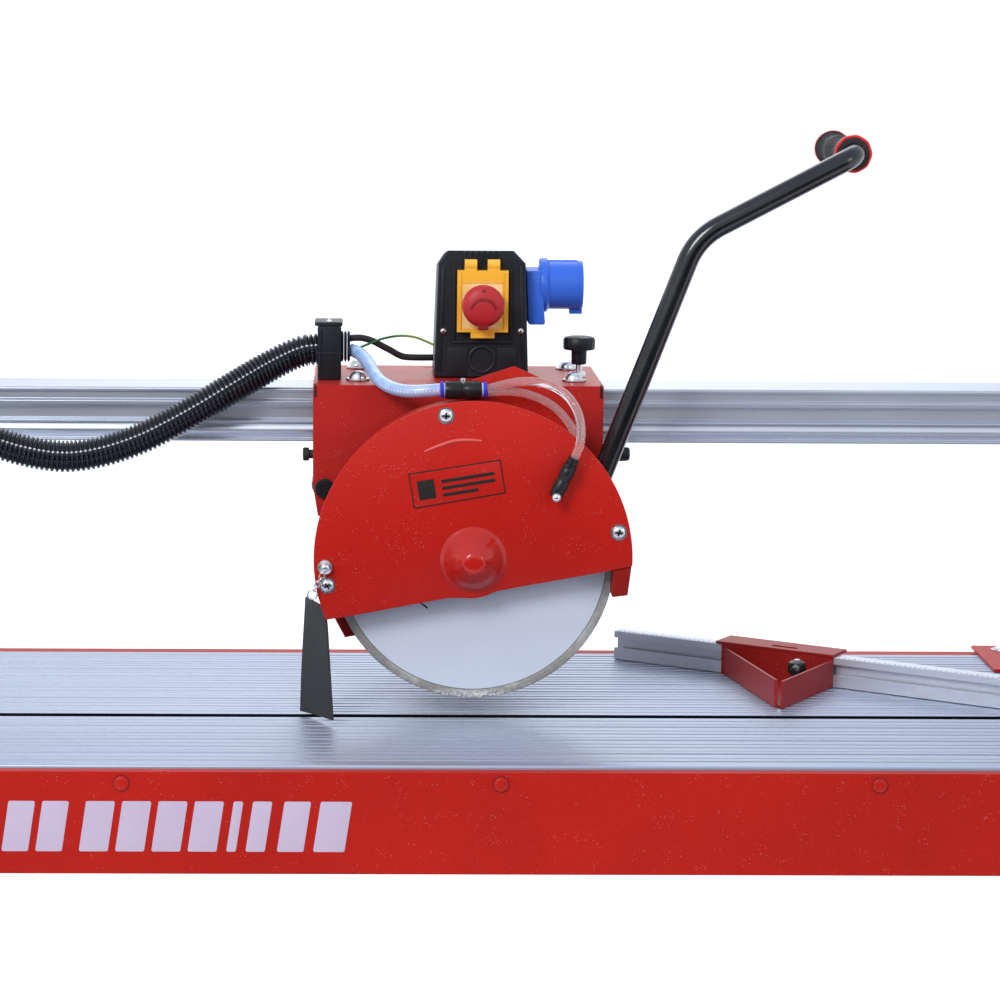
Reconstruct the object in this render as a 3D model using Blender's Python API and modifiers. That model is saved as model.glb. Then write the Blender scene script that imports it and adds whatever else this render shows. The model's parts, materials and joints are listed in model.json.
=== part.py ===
"""Bridge wet tile saw: table, tilting bridge, sliding carriage and plunging blade head.

Metres, +Z up, +X to the operator's right, +Y away from the operator.
The origin lies on the floor under the middle of the table.
"""
from math import atan2, cos, degrees, pi, radians, sin

import bmesh
import bpy
from mathutils import Matrix, Vector

# ---------------------------------------------------------------- driving dimensions
GAP = 0.0003                 # air kept between touching solids
SHEET = 0.002                # thickness of the folded steel

TABLE_TOP = 0.800
FRAME_HALF_LENGTH = 0.820
FRAME_HALF_DEPTH = 0.250
RAIL_TOP = 0.797             # folded lips lie just under the slab tops
RAIL_BOTTOM = 0.7096
SLAB_HALF_LENGTH = 0.775
SLAB_BOTTOM = 0.775

SLOT_Y = -0.0555             # the blade's plane
SLOT_HALF_WIDTH = 0.006

BEAM_FRONT = 0.045
BEAM_REAR = 0.111
BEAM_BOTTOM = 1.0320
BEAM_TOP = 1.0813
BEAM_HALF_LENGTH = 0.7860
GROOVE_Z = 1.0578            # middle of the roller grooves
GROOVE_DEPTH = 0.006

HOUSING_X = (-0.0003, 0.2586)
HOUSING_Y = (-0.0080, 0.1520)
HOUSING_TOP = 1.0900
HOUSING_SHEET = 0.0025

HUB = Vector((0.1418, SLOT_Y, 0.9424))
BLADE_RADIUS = 0.125
ARBOR_RADIUS = 0.0127
PIVOT = Vector((0.0103, 0.0, 0.9970))
COVER_CENTRE = (0.1410, 0.9455)
COVER_RADIUS = 0.1395
COVER_FRONT = -0.0805
CASING_BACK = -0.0315

TILT_PIVOT = Vector((0.0, SLOT_Y, TABLE_TOP))
TILT_LOCK_RADIUS = 0.170
TILT_LOCK_ANGLE = 62.0
SUPPORT_X = (0.7810, 0.7850)
ARM_X = (0.7865, 0.7915)

LEG_HINGE = (0.7685, 0.688)
LEG_TUBE = 0.0125
LEG_SPLAY = radians(5.8)
LEG_Y = 0.196

HANDLE_Y = -0.0195
HANDLE_RADIUS = 0.0095

FENCE_START = Vector((0.2889, 0.1911, 0.0))
FENCE_ANGLE = radians(-32.7)
FENCE_LENGTH = 0.403

# colour, roughness, metallic
FINISHES = {
    "red_paint": ((0.46, 0.012, 0.008), 0.38, 0.0),
    "aluminium": ((0.52, 0.57, 0.68), 0.36, 0.9),
    "steel": ((0.62, 0.63, 0.65), 0.28, 1.0),
    "zinc": ((0.55, 0.56, 0.58), 0.35, 1.0),
    "black_plastic": ((0.018, 0.019, 0.021), 0.50, 0.0),
    "black_paint": ((0.014, 0.014, 0.016), 0.25, 0.0),
    "black_rubber": ((0.020, 0.020, 0.020), 0.75, 0.0),
    "yellow_plastic": ((0.80, 0.42, 0.02), 0.40, 0.0),
    "red_plastic": ((0.42, 0.012, 0.015), 0.38, 0.0),
    "green_plastic": ((0.02, 0.30, 0.06), 0.40, 0.0),
    "blue_plastic": ((0.03, 0.09, 0.52), 0.38, 0.0),
    "blue_hose": ((0.26, 0.40, 0.66), 0.45, 0.0),
    "clear_hose": ((0.75, 0.62, 0.62), 0.20, 0.0),
    "grey_paint": ((0.20, 0.21, 0.22), 0.45, 0.1),
}

# ---------------------------------------------------------------- scene and materials
for old in list(bpy.data.objects):
    bpy.data.objects.remove(old, do_unlink=True)

parts = bpy.data.collections.new("wet_tile_saw")
cutters = bpy.data.collections.new("cutters")
bpy.context.scene.collection.children.link(parts)
bpy.context.scene.collection.children.link(cutters)


def finish_for(name):
    """One Principled material for each finish, made once."""
    found = bpy.data.materials.get(name)
    if found:
        return found
    colour, roughness, metallic = FINISHES[name]
    made = bpy.data.materials.new(name)
    made.use_nodes = True
    shader = made.node_tree.nodes["Principled BSDF"]
    shader.inputs["Base Color"].default_value = (*colour, 1.0)
    shader.inputs["Roughness"].default_value = roughness
    shader.inputs["Metallic"].default_value = metallic
    made.diffuse_color = (*colour, 1.0)
    return made


def keep(obj, name, finish):
    """Name a finished piece, give it its material and put it with the parts."""
    obj.name = name
    obj.data.name = name
    obj.data.materials.clear()
    obj.data.materials.append(finish_for(finish))
    parts.objects.link(obj)
    if obj.type == "MESH":
        obj.data.shade_smooth()
        obj.data.set_sharp_from_angle(angle=radians(35))
    return obj


# ---------------------------------------------------------------- basic shapes
def box(low, high):
    """A rectangular block between two corners."""
    low, high = Vector(low), Vector(high)
    mesh = bpy.data.meshes.new("block")
    bm = bmesh.new()
    bmesh.ops.create_cube(bm, size=1.0)
    bmesh.ops.scale(bm, vec=high - low, verts=bm.verts)
    bm.to_mesh(mesh)
    bm.free()
    obj = bpy.data.objects.new("block", mesh)
    obj.location = (low + high) / 2
    return obj


AXIS_TURN = {
    "X": (0.0, pi / 2, 0.0),
    "Y": (-pi / 2, 0.0, 0.0),
    "Z": (0.0, 0.0, 0.0),
}


def turned(profile, centre, axis="Z", steps=32):
    """A turned piece: (radius, height) points run down the outer side, top to bottom."""
    mesh = bpy.data.meshes.new("profile")
    closed = profile[0][0] > 0.0
    points = [(radius, 0.0, height) for radius, height in profile]
    edges = [(i, i + 1) for i in range(len(points) - 1)]
    if closed:
        edges.append((len(points) - 1, 0))
    mesh.from_pydata(points, edges, [])
    obj = bpy.data.objects.new("turned", mesh)
    obj.location = centre
    obj.rotation_euler = AXIS_TURN[axis]
    screw = obj.modifiers.new("turn", "SCREW")
    screw.steps = steps
    screw.render_steps = steps
    screw.use_merge_vertices = True
    screw.merge_threshold = 0.00001
    return obj


def cylinder(radius, low, high, centre, axis="Z", steps=32):
    """A plain round bar from low to high along its axis."""
    profile = [(0.0, high), (radius, high), (radius, low), (0.0, low)]
    return turned(profile, centre, axis, steps)


def washer(outer, inner, low, high, centre, axis="Z", steps=32):
    """A ring with square edges."""
    profile = [(inner, high), (outer, high), (outer, low), (inner, low)]
    return turned(profile, centre, axis, steps)


PLANE_TURN = {
    "XZ": (pi / 2, 0.0, 0.0),
    "YZ": (pi / 2, 0.0, pi / 2),
    "XY": (0.0, 0.0, 0.0),
}
PLANE_NORMAL = {"XZ": 1, "YZ": 0, "XY": 2}


def plate(outline, plane, low, high, holes=()):
    """A flat outline, with holes, given its thickness from low to high across its plane."""
    curve = bpy.data.curves.new("outline", "CURVE")
    curve.dimensions = "2D"
    curve.fill_mode = "BOTH"
    curve.extrude = (high - low) / 2
    for loop in (outline, *holes):
        spline = curve.splines.new("POLY")
        spline.points.add(len(loop) - 1)
        for point, (across, up) in zip(spline.points, loop):
            point.co = (across, up, 0.0, 1.0)
        spline.use_cyclic_u = True
    obj = bpy.data.objects.new("plate", curve)
    place = [0.0, 0.0, 0.0]
    place[PLANE_NORMAL[plane]] = (low + high) / 2
    obj.location = place
    obj.rotation_euler = PLANE_TURN[plane]
    return as_mesh(obj)


def tube(points, radius, resolution=3):
    """A round tube or bar along a path, with closed ends."""
    curve = bpy.data.curves.new("path", "CURVE")
    curve.dimensions = "3D"
    curve.bevel_depth = radius
    curve.bevel_resolution = resolution
    curve.use_fill_caps = True
    spline = curve.splines.new("POLY")
    spline.points.add(len(points) - 1)
    for target, point in zip(spline.points, points):
        target.co = (*point, 1.0)
    return bpy.data.objects.new("tube", curve)


def as_mesh(obj):
    """Turn a curve, or a mesh with modifiers, into a plain welded mesh object."""
    cutters.objects.link(obj)
    bpy.context.view_layer.update()
    evaluated = obj.evaluated_get(bpy.context.evaluated_depsgraph_get())
    mesh = bpy.data.meshes.new_from_object(evaluated)
    bm = bmesh.new()
    bm.from_mesh(mesh)
    bmesh.ops.remove_doubles(bm, verts=bm.verts, dist=0.000005)
    bmesh.ops.recalc_face_normals(bm, faces=bm.faces)
    bm.to_mesh(mesh)
    bm.free()
    made = bpy.data.objects.new("solid", mesh)
    made.matrix_world = obj.matrix_world.copy()
    bpy.data.objects.remove(obj, do_unlink=True)
    return made


def combine(base, others, operation):
    """Join or cut a solid with others, by exact Booleans, and return the plain result."""
    base = as_mesh(base)
    for other in others:
        tool = as_mesh(other)
        cutters.objects.link(tool)
        tool.hide_render = True
        tool.display_type = "WIRE"
        step = base.modifiers.new(operation.lower(), "BOOLEAN")
        step.operation = operation
        step.object = tool
        step.solver = "EXACT"
    return as_mesh(base)


def join(base, *others):
    return combine(base, others, "UNION")


def cut(base, *others):
    return combine(base, others, "DIFFERENCE")


def rounded(obj, width, segments=2, limit=50):
    """Round the sharp edges of a plain solid."""
    obj = as_mesh(obj)
    bevel = obj.modifiers.new("round", "BEVEL")
    bevel.width = width
    bevel.segments = segments
    bevel.limit_method = "ANGLE"
    bevel.angle_limit = radians(limit)
    return as_mesh(obj)


# ---------------------------------------------------------------- outlines and paths
def arc(centre, radius, start, end, count):
    """Points on an arc, angles in degrees, counted from the first axis to the second."""
    angles = [radians(start + (end - start) * i / count) for i in range(count + 1)]
    return [(centre[0] + radius * cos(a), centre[1] + radius * sin(a)) for a in angles]


def ring(centre, radius, count=20):
    """Points around a full circle."""
    return arc(centre, radius, 0.0, 360.0, count)[:-1]


def polar(radius, angle):
    """A point at an angle above +Y about the tilt pivot, as (y, z)."""
    return (TILT_PIVOT.y + radius * cos(radians(angle)),
            TILT_PIVOT.z + radius * sin(radians(angle)))


def soften(points, radius, count=6):
    """A polyline whose inner corners become arcs that touch both straight runs."""
    points = [Vector(p) for p in points]
    path = [points[0]]
    for before, corner, after in zip(points, points[1:], points[2:]):
        inward = (before - corner).normalized()
        outward = (after - corner).normalized()
        half = inward.angle(outward) / 2
        reach = radius * cos(half) / sin(half)
        start, end = corner + inward * reach, corner + outward * reach
        centre = corner + (inward + outward).normalized() * (radius / sin(half))
        first, last = start - centre, end - centre
        for i in range(count + 1):
            path.append(centre + first.slerp(last, i / count).normalized() * radius)
    path.append(points[-1])
    return path


def smooth_route(points, spacing):
    """An even run of points on the smooth curve through a route's own points."""
    points = [Vector(p) for p in points]
    ends = [2 * points[0] - points[1], *points, 2 * points[-1] - points[-2]]
    dense = []
    for p0, p1, p2, p3 in zip(ends, ends[1:], ends[2:], ends[3:]):
        for i in range(20):
            t = i / 20
            dense.append(0.5 * (2 * p1 + (p2 - p0) * t + (2 * p0 - 5 * p1 + 4 * p2 - p3) * t * t
                                + (3 * p1 - p0 - 3 * p2 + p3) * t ** 3))
    dense.append(points[-1])
    total = sum((b - a).length for a, b in zip(dense, dense[1:]))
    steps = max(2, round(total / spacing))
    route, walked, target = [dense[0]], 0.0, total / steps
    for a, b in zip(dense, dense[1:]):
        length = (b - a).length
        while walked + length >= target and len(route) < steps:
            route.append(a.lerp(b, (target - walked) / length))
            target += total / steps
        walked += length
    route.append(dense[-1])
    return route


# ---------------------------------------------------------------- table and base
def rail(side):
    """A folded steel channel along the front (side -1) or the rear (side +1)."""
    top_lip = 0.0109 if side < 0 else 0.0295
    face = FRAME_HALF_DEPTH
    outline = [
        (face, RAIL_BOTTOM), (face, RAIL_TOP), (face - top_lip, RAIL_TOP),
        (face - top_lip, RAIL_TOP - SHEET), (face - SHEET, RAIL_TOP - SHEET),
        (face - SHEET, RAIL_BOTTOM + SHEET), (face - 0.025, RAIL_BOTTOM + SHEET),
        (face - 0.025, RAIL_BOTTOM),
    ]
    outline = [(side * y, z) for y, z in outline]
    return plate(outline, "YZ", -FRAME_HALF_LENGTH, FRAME_HALF_LENGTH)


def base_frame():
    """Welded ladder under the table: end panels, long bars, cross bars and leg hinge ears."""
    inner = FRAME_HALF_DEPTH - SHEET - GAP
    bar_z = (0.7547, 0.7747)
    pieces = []
    for side in (-1, 1):
        x_panel = sorted((side * 0.8165, side * 0.8195))
        pieces.append(box((x_panel[0], -inner, 0.7119), (x_panel[1], inner, 0.7947)))
        y_bar = sorted((side * inner, side * (inner - 0.012)))
        pieces.append(box((-0.8175, y_bar[0], bar_z[0]), (0.8175, y_bar[1], bar_z[1])))
        x_end = sorted((side * 0.7605, side * 0.7805))
        pieces.append(box((x_end[0], -inner + 0.001, bar_z[0] + 0.0005),
                          (x_end[1], inner - 0.001, bar_z[1] - 0.0005)))
        for face in (-1, 1):
            ear = [(side * 0.7565, 0.762), (side * 0.7565, LEG_HINGE[1]),
                   *[(side * x, z) for x, z in arc(LEG_HINGE, 0.012, 180, 360, 8)],
                   (side * 0.7800, 0.762)]
            y_ear = sorted((face * 0.2093, face * 0.2133))
            hole = ring((side * LEG_HINGE[0], LEG_HINGE[1]), 0.0050, 12)
            pieces.append(plate(ear, "XZ", y_ear[0], y_ear[1], [hole]))
    for x in (-0.600, -0.200, 0.200, 0.600):
        pieces.append(box((x - 0.010, -inner + 0.001, bar_z[0] + 0.0005),
                          (x + 0.010, inner - 0.001, bar_z[1] - 0.0005)))
    return join(pieces[0], *pieces[1:])


def table_slab(slot_edge, outer_edge):
    """A ribbed extrusion: fine grooves on top, webs below, undercut at the slot."""
    step = 1 if outer_edge > slot_edge else -1
    width = abs(outer_edge - slot_edge)
    pitch, groove, depth = 0.010, 0.0030, 0.0012
    top = [(0.0, TABLE_TOP)]
    for i in range(int(width / pitch)):
        start = 0.0055 + i * pitch
        if start + groove > width - 0.003:
            break
        top += [(start, TABLE_TOP), (start, TABLE_TOP - depth),
                (start + groove, TABLE_TOP - depth), (start + groove, TABLE_TOP)]
    top += [(width, TABLE_TOP), (width, SLAB_BOTTOM), (width - 0.003, SLAB_BOTTOM)]
    skin, web = TABLE_TOP - 0.006, 0.003
    count = round(width / 0.045)
    spacing = (width - 0.020 - web) / count
    bottom = [(width - 0.003, skin)]
    for i in range(count - 1, -1, -1):
        start = 0.020 + i * spacing
        bottom += [(start + web, skin), (start + web, SLAB_BOTTOM),
                   (start, SLAB_BOTTOM), (start, skin)]
    bottom += [(0.0042, skin), (0.0, TABLE_TOP - 0.0025)]
    outline = [(slot_edge + step * across, up) for across, up in top + bottom]
    return plate(outline, "YZ", -SLAB_HALF_LENGTH, SLAB_HALF_LENGTH)


def water_tray():
    """An open tray for the cooling water, inside the frame."""
    outer = box((-0.750, -0.2345, 0.7119), (0.750, 0.2345, 0.7540))
    inner = box((-0.748, -0.2325, 0.7139), (0.748, 0.2325, 0.7640))
    return cut(outer, inner)


def water_pump():
    """A small submersible pump with an upright hose spigot."""
    body = rounded(box((-0.735, 0.090, 0.7142), (-0.672, 0.150, 0.7440)), 0.004)
    spigot = cylinder(0.006, -0.006, 0.0085, (-0.704, 0.120, 0.7440), "Z", 16)
    return join(body, spigot)


def end_support(side):
    """Upright quadrant plate on a foot plate, with the bridge's tilt pivot pin."""
    slot_wide = 0.0050
    outline = [(0.2195, 0.742), (0.2195, 0.840)]
    outline += [polar(0.200, angle) for angle in range(56, 116, 6)]
    outline += [(-0.125, TABLE_TOP), (-0.125, 0.742)]
    first, last = TILT_LOCK_ANGLE - 1.5, TILT_LOCK_ANGLE + 46.5
    outer = [polar(TILT_LOCK_RADIUS + slot_wide, first + (last - first) * i / 12) for i in range(13)]
    inner = [polar(TILT_LOCK_RADIUS - slot_wide, last - (last - first) * i / 12) for i in range(13)]
    x_low, x_high = sorted((side * SUPPORT_X[0], side * SUPPORT_X[1]))
    upright = plate(outline, "YZ", x_low, x_high, [outer + inner])
    foot_x = sorted((side * 0.6475, side * 0.7820))
    foot = box((foot_x[0], 0.1365, TABLE_TOP + GAP), (foot_x[1], 0.2495, TABLE_TOP + GAP + 0.003))
    gusset = plate([(side * 0.665, 0.8020), (side * 0.7820, 0.8020), (side * 0.7820, 0.8500)],
                   "XZ", 0.186, 0.190)
    reach = sorted((side * 0.7840, side * 0.7960))
    pin = cylinder(0.008, reach[0], reach[1], (0.0, TILT_PIVOT.y, TILT_PIVOT.z), "X", 24)
    return join(upright, foot, gusset, pin)


def leg_frame(side):
    """A splayed H frame of round tube that hangs from two hinge bolts."""
    drop = Vector((side * sin(LEG_SPLAY), 0.0, -cos(LEG_SPLAY)))
    hinge = Vector((side * LEG_HINGE[0], 0.0, LEG_HINGE[1]))
    top, foot = hinge - drop * 0.010, hinge + drop * 0.6600
    pieces = []
    for face in (-1, 1):
        offset = Vector((0.0, face * LEG_Y, 0.0))
        pieces.append(tube([top + offset, foot + offset], LEG_TUBE, 4))
        bolt_y = (face * LEG_Y, face * 0.2165)
        pieces.append(cylinder(0.0045, min(bolt_y), max(bolt_y), (hinge.x, 0.0, hinge.z), "Y", 12))
    for along in (0.090, 0.500):
        middle = hinge + drop * along
        reach = Vector((0.0, LEG_Y, 0.0))
        pieces.append(tube([middle - reach, middle + reach], LEG_TUBE * 0.85, 3))
    return join(pieces[0], *pieces[1:])


def leg_foot(side, face):
    """A rubber foot under a leg tube."""
    distance = 0.6600
    x = side * (LEG_HINGE[0] + sin(LEG_SPLAY) * distance)
    top = LEG_HINGE[1] - cos(LEG_SPLAY) * distance - 0.0025
    profile = [(0.0, top), (0.0165, top), (0.0175, 0.020), (0.0205, 0.006), (0.0205, 0.0), (0.0, 0.0)]
    return turned(profile, (x, face * LEG_Y, 0.0), "Z", 20)


# ---------------------------------------------------------------- bridge
def beam_outline():
    """Half of the beam's section, mirrored about its middle, with the roller grooves."""
    middle = (BEAM_FRONT + BEAM_REAR) / 2
    groove = BEAM_FRONT + GROOVE_DEPTH
    front = [
        (BEAM_FRONT + 0.0015, BEAM_TOP), (BEAM_FRONT, BEAM_TOP - 0.0015),
        (BEAM_FRONT, 1.0775), (BEAM_FRONT + 0.0025, 1.0765), (BEAM_FRONT + 0.0025, 1.0705),
        (BEAM_FRONT, 1.0685), (BEAM_FRONT, 1.0650), (groove, 1.0628), (groove, 1.0528),
        (BEAM_FRONT, 1.0508), (BEAM_FRONT, 1.0492), (BEAM_FRONT + 0.0028, 1.0482),
        *[(BEAM_FRONT + 0.0028 - 0.0028 * sin(radians(a)), 1.0482 - 0.0117 * a / 180)
          for a in (36, 72, 108, 144)],
        (BEAM_FRONT + 0.0028, 1.0365), (BEAM_FRONT + 0.0028, 1.0352),
        (BEAM_FRONT, 1.0342), (BEAM_FRONT, BEAM_BOTTOM + 0.001), (BEAM_FRONT + 0.001, BEAM_BOTTOM),
    ]
    rear = [(2 * middle - y, z) for y, z in reversed(front)]
    return front + rear


def beam():
    """The aluminium extrusion that carries the carriage, hollow right through."""
    upper = [(0.055, 1.0665), (0.055, 1.0770), (0.101, 1.0770), (0.101, 1.0665)]
    lower = [(0.055, 1.0365), (0.055, 1.0480), (0.101, 1.0480), (0.101, 1.0365)]
    return plate(beam_outline(), "YZ", -BEAM_HALF_LENGTH, BEAM_HALF_LENGTH, [upper, lower])


def tilt_arm(side):
    """The swinging plate that joins a beam end to the tilt pivot."""
    pivot = (TILT_PIVOT.y, TILT_PIVOT.z)
    outline = [*arc(pivot, 0.025, 160, 335, 14), (0.128, 1.022), (0.128, 1.088), (0.122, 1.094),
               (0.036, 1.094), (0.030, 1.088), (0.030, 1.034)]
    holes = [ring(pivot, 0.0083, 20), ring(polar(TILT_LOCK_RADIUS, TILT_LOCK_ANGLE), 0.0045, 14)]
    x_low, x_high = sorted((side * ARM_X[0], side * ARM_X[1]))
    return plate(outline, "YZ", x_low, x_high, holes)


def tilt_knob(side):
    """A clamping knob whose stem passes the arm and the quadrant slot."""
    y, z = polar(TILT_LOCK_RADIUS, TILT_LOCK_ANGLE)
    profile = [(0.0, 0.826), (0.012, 0.826), (0.0165, 0.822), (0.0175, 0.812), (0.015, 0.806),
               (0.009, 0.803), (0.009, 0.7920), (0.0042, 0.7920), (0.0042, 0.7770), (0.0, 0.7770)]
    if side < 0:
        profile = [(r, -h) for r, h in reversed(profile)]
    return turned(profile, (0.0, y, z), "X", 16)


def conduit_hanger():
    """A post on the left arm with a ring that holds the conduit clear of the beam."""
    post = tube(soften([(-0.8000, 0.080, 1.000), (-0.8000, 0.080, 1.150),
                        (-0.8030, 0.037, 1.217)], 0.030, 4), 0.006, 3)
    lug = box((-0.8050, 0.072, 1.030), (-0.7918, 0.088, 1.070))
    hoop = washer(0.0215, 0.0165, -0.004, 0.004, (-0.8030, 0.0360, 1.2350), "X", 16)
    return join(lug, post, hoop)


CONDUIT_RADIUS = 0.01425
# The visible run leaves the clamp, sags in front of the beam and climbs to the hanger.
CONDUIT_ROUTE = [
    (-0.0024, 0.0466, 1.1158), (-0.0100, 0.0462, 1.1146), (-0.0240, 0.0446, 1.1092),
    (-0.0462, 0.0390, 1.0980), (-0.0756, 0.0270, 1.0817), (-0.1023, 0.0190, 1.0661),
    (-0.1307, 0.0130, 1.0506), (-0.1582, 0.0080, 1.0377), (-0.1910, 0.0030, 1.0274),
    (-0.2238, 0.0000, 1.0236), (-0.2611, -0.0010, 1.0294), (-0.2980, -0.0010, 1.0420),
    (-0.3500, 0.0000, 1.0630), (-0.4200, 0.0030, 1.0950), (-0.5000, 0.0080, 1.1330),
    (-0.5800, 0.0150, 1.1700), (-0.6600, 0.0230, 1.2030), (-0.7300, 0.0300, 1.2250),
    (-0.7750, 0.0345, 1.2335), (-0.7920, 0.0360, 1.2350), (-0.8020, 0.0360, 1.2350),
]
LOWER_CONDUIT_ROUTE = [
    (-0.8060, 0.0360, 1.2350), (-0.8180, 0.0360, 1.2350), (-0.8480, 0.0365, 1.2311),
    (-0.8770, 0.0375, 1.2192), (-0.9015, 0.0390, 1.2005), (-0.9205, 0.0410, 1.1755),
    (-0.9325, 0.0435, 1.1460), (-0.9385, 0.0470, 1.1100), (-0.9440, 0.0530, 1.0500),
    (-0.9510, 0.0610, 0.9700), (-0.9560, 0.0680, 0.9100), (-0.9580, 0.0725, 0.8710),
    (-0.9540, 0.0755, 0.8405), (-0.9422, 0.0780, 0.8120), (-0.9234, 0.0793, 0.7876),
    (-0.8990, 0.0800, 0.7688), (-0.8705, 0.0800, 0.7570), (-0.8400, 0.0800, 0.7530),
    (-0.8274, 0.0800, 0.7530),
]


def conduit_gland():
    """The collar on the left end panel that the lower conduit goes into."""
    return washer(0.0190, 0.0150, -0.8270, -0.8170, (0.0, 0.0800, 0.7530), "X", 16)


# ---------------------------------------------------------------- carriage
def carriage_housing():
    """A folded steel hood over the beam, open below, with lobes for the head's pivot."""
    x0, x1 = HOUSING_X
    y0, y1 = HOUSING_Y
    sheet = HOUSING_SHEET
    top = plate([(x0, y0), (x1, y0), (x1, y1), (x0, y1)], "XY", HOUSING_TOP - sheet, HOUSING_TOP, [
        ring((x, y), 0.0053, 12) for x, y in ROLLER_PLACES
    ] + [ring(LOCK_SCREW, 0.0033, 10)])
    face = [(x0, HOUSING_TOP - 0.0005), (x0, 1.000), (0.0042, 0.9720), (0.0300, 0.9720),
            (0.0460, 1.0120), (x1, 1.0120), (x1, HOUSING_TOP - 0.0005)]
    pivot_hole = ring((PIVOT.x, PIVOT.z), 0.0073, 20)
    front = plate(face, "XZ", y0, y0 + sheet, [pivot_hole])
    rear = plate(face, "XZ", y1 - sheet, y1, [pivot_hole])
    pieces = [front, rear]
    for x in (x0, x1 - sheet):
        for y_low, y_high in ((y0 + 0.0005, 0.0385), (0.1175, y1 - 0.0005)):
            pieces.append(box((x, y_low, 1.0125), (x + sheet, y_high, HOUSING_TOP - 0.0005)))
    return join(top, *pieces)


ROLLER_PLACES = [(0.0395, 0.030), (0.2345, 0.030), (0.0395, 0.126), (0.2345, 0.126)]
ROLLER_RADIUS = 0.0207
LOCK_SCREW = (0.2410, 0.0620)


def guide_roller(x, y):
    """A grooved-beam roller with a crowned rim and a bore for its bolt."""
    bore = 0.0055
    profile = [(bore, 0.0060), (0.0120, 0.0060), (0.0120, 0.0043), (0.0180, 0.0040),
               (ROLLER_RADIUS, 0.0020), (ROLLER_RADIUS, -0.0020), (0.0180, -0.0040),
               (0.0120, -0.0043), (0.0120, -0.0060), (bore, -0.0060)]
    return turned(profile, (x, y, GROOVE_Z), "Z", 16)


def roller_bolt(x, y):
    """A domed bolt with its washer, a spacer above the roller and a nut below it."""
    top = HOUSING_TOP + GAP
    profile = [
        (0.0, top + 0.0085), (0.0040, top + 0.0077), (0.0068, top + 0.0052),
        (0.0080, top + 0.0020), (0.0108, top + 0.0020), (0.0108, top), (0.0050, top),
        (0.0050, 1.0860), (0.0075, 1.0860), (0.0075, GROOVE_Z + 0.0064), (0.0050, GROOVE_Z + 0.0064),
        (0.0050, GROOVE_Z - 0.0064), (0.0075, GROOVE_Z - 0.0064), (0.0075, 1.0440), (0.0, 1.0440),
    ]
    return turned(profile, (x, y, 0.0), "Z", 12)


def carriage_lock_knob():
    """The knob on top whose screw presses on the beam."""
    profile = [
        (0.0, 1.1275), (0.0110, 1.1272), (0.0138, 1.1250), (0.0144, 1.1225), (0.0144, 1.1155),
        (0.0070, 1.1150), (0.0066, 1.1020), (0.0030, 1.1015), (0.0030, BEAM_TOP + GAP),
        (0.0, BEAM_TOP + GAP),
    ]
    return turned(profile, (*LOCK_SCREW, 0.0), "Z", 16)


def head_lock_knob():
    """The tapered knob on the right side plate."""
    x = HOUSING_X[1] + GAP
    profile = [(0.0, x + 0.0262), (0.0045, x + 0.0262), (0.0058, x + 0.0250), (0.0066, x + 0.0150),
               (0.0060, x + 0.0060), (0.0050, x + 0.0040), (0.0050, x), (0.0, x)]
    return turned(profile, (0.0, 0.0200, 1.0253), "X", 20)


def switch_box():
    """A chamfered plastic box on the housing, with a pocket for the start button."""
    outline = [
        (0.1085, HOUSING_TOP + GAP), (0.1943, HOUSING_TOP + GAP), (0.1908, 1.1945),
        (0.1800, 1.2060), (0.1192, 1.2060), (0.1118, 1.1945),
    ]
    body = plate(outline, "XZ", 0.0500, 0.1250)
    pocket = cylinder(0.0060, 0.0480, 0.0560, (0.1519, 0.0, 1.1430), "Y", 20)
    return cut(rounded(body, 0.0020, 2), pocket)


FLAP_HINGE = (0.0445, 1.1935)


def switch_flap():
    """The yellow cover: a shallow shell with two hinge lugs, a stem hole and a lift tab."""
    shell = box((0.1288, 0.0400, 1.1329), (0.1749, 0.0492, 1.1886))
    hollow = box((0.1303, 0.0418, 1.1344), (0.1734, 0.0520, 1.1871))
    stem_hole = cylinder(0.0048, 0.0380, 0.0440, (0.1519, 0.0, 1.1576), "Y", 16)
    tab = box((0.1411, 0.0405, 1.1275), (0.1628, 0.0430, 1.1340))
    lugs = []
    for x in (0.1353, 0.1560):
        lugs.append(box((x, 0.0405, 1.1860), (x + 0.0112, 0.0488, FLAP_HINGE[1])))
        lugs.append(cylinder(0.0050, x + 0.0001, x + 0.0111, (0.0, *FLAP_HINGE), "X", 20))
    return join(cut(shell, hollow, stem_hole), *lugs, tab)


def stop_button():
    """A mushroom button whose stem passes the flap."""
    profile = [(0.0, 0.0440), (0.0042, 0.0440), (0.0042, 0.0345), (0.0060, 0.0340),
               (0.0178, 0.0330), (0.0190, 0.0305), (0.0190, 0.0280), (0.0165, 0.0235),
               (0.0100, 0.0212), (0.0, 0.0208)]
    return turned(profile, (0.1519, 0.0, 1.1576), "Y", 20)


def start_button():
    """The start button in its pocket, under the flap."""
    profile = [(0.0, 0.0520), (0.0055, 0.0520), (0.0055, 0.0455), (0.0048, 0.0448), (0.0, 0.0448)]
    return turned(profile, (0.1519, 0.0, 1.1430), "Y", 16)


INLET_AXIS = (0.0875, 1.1720)


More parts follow.
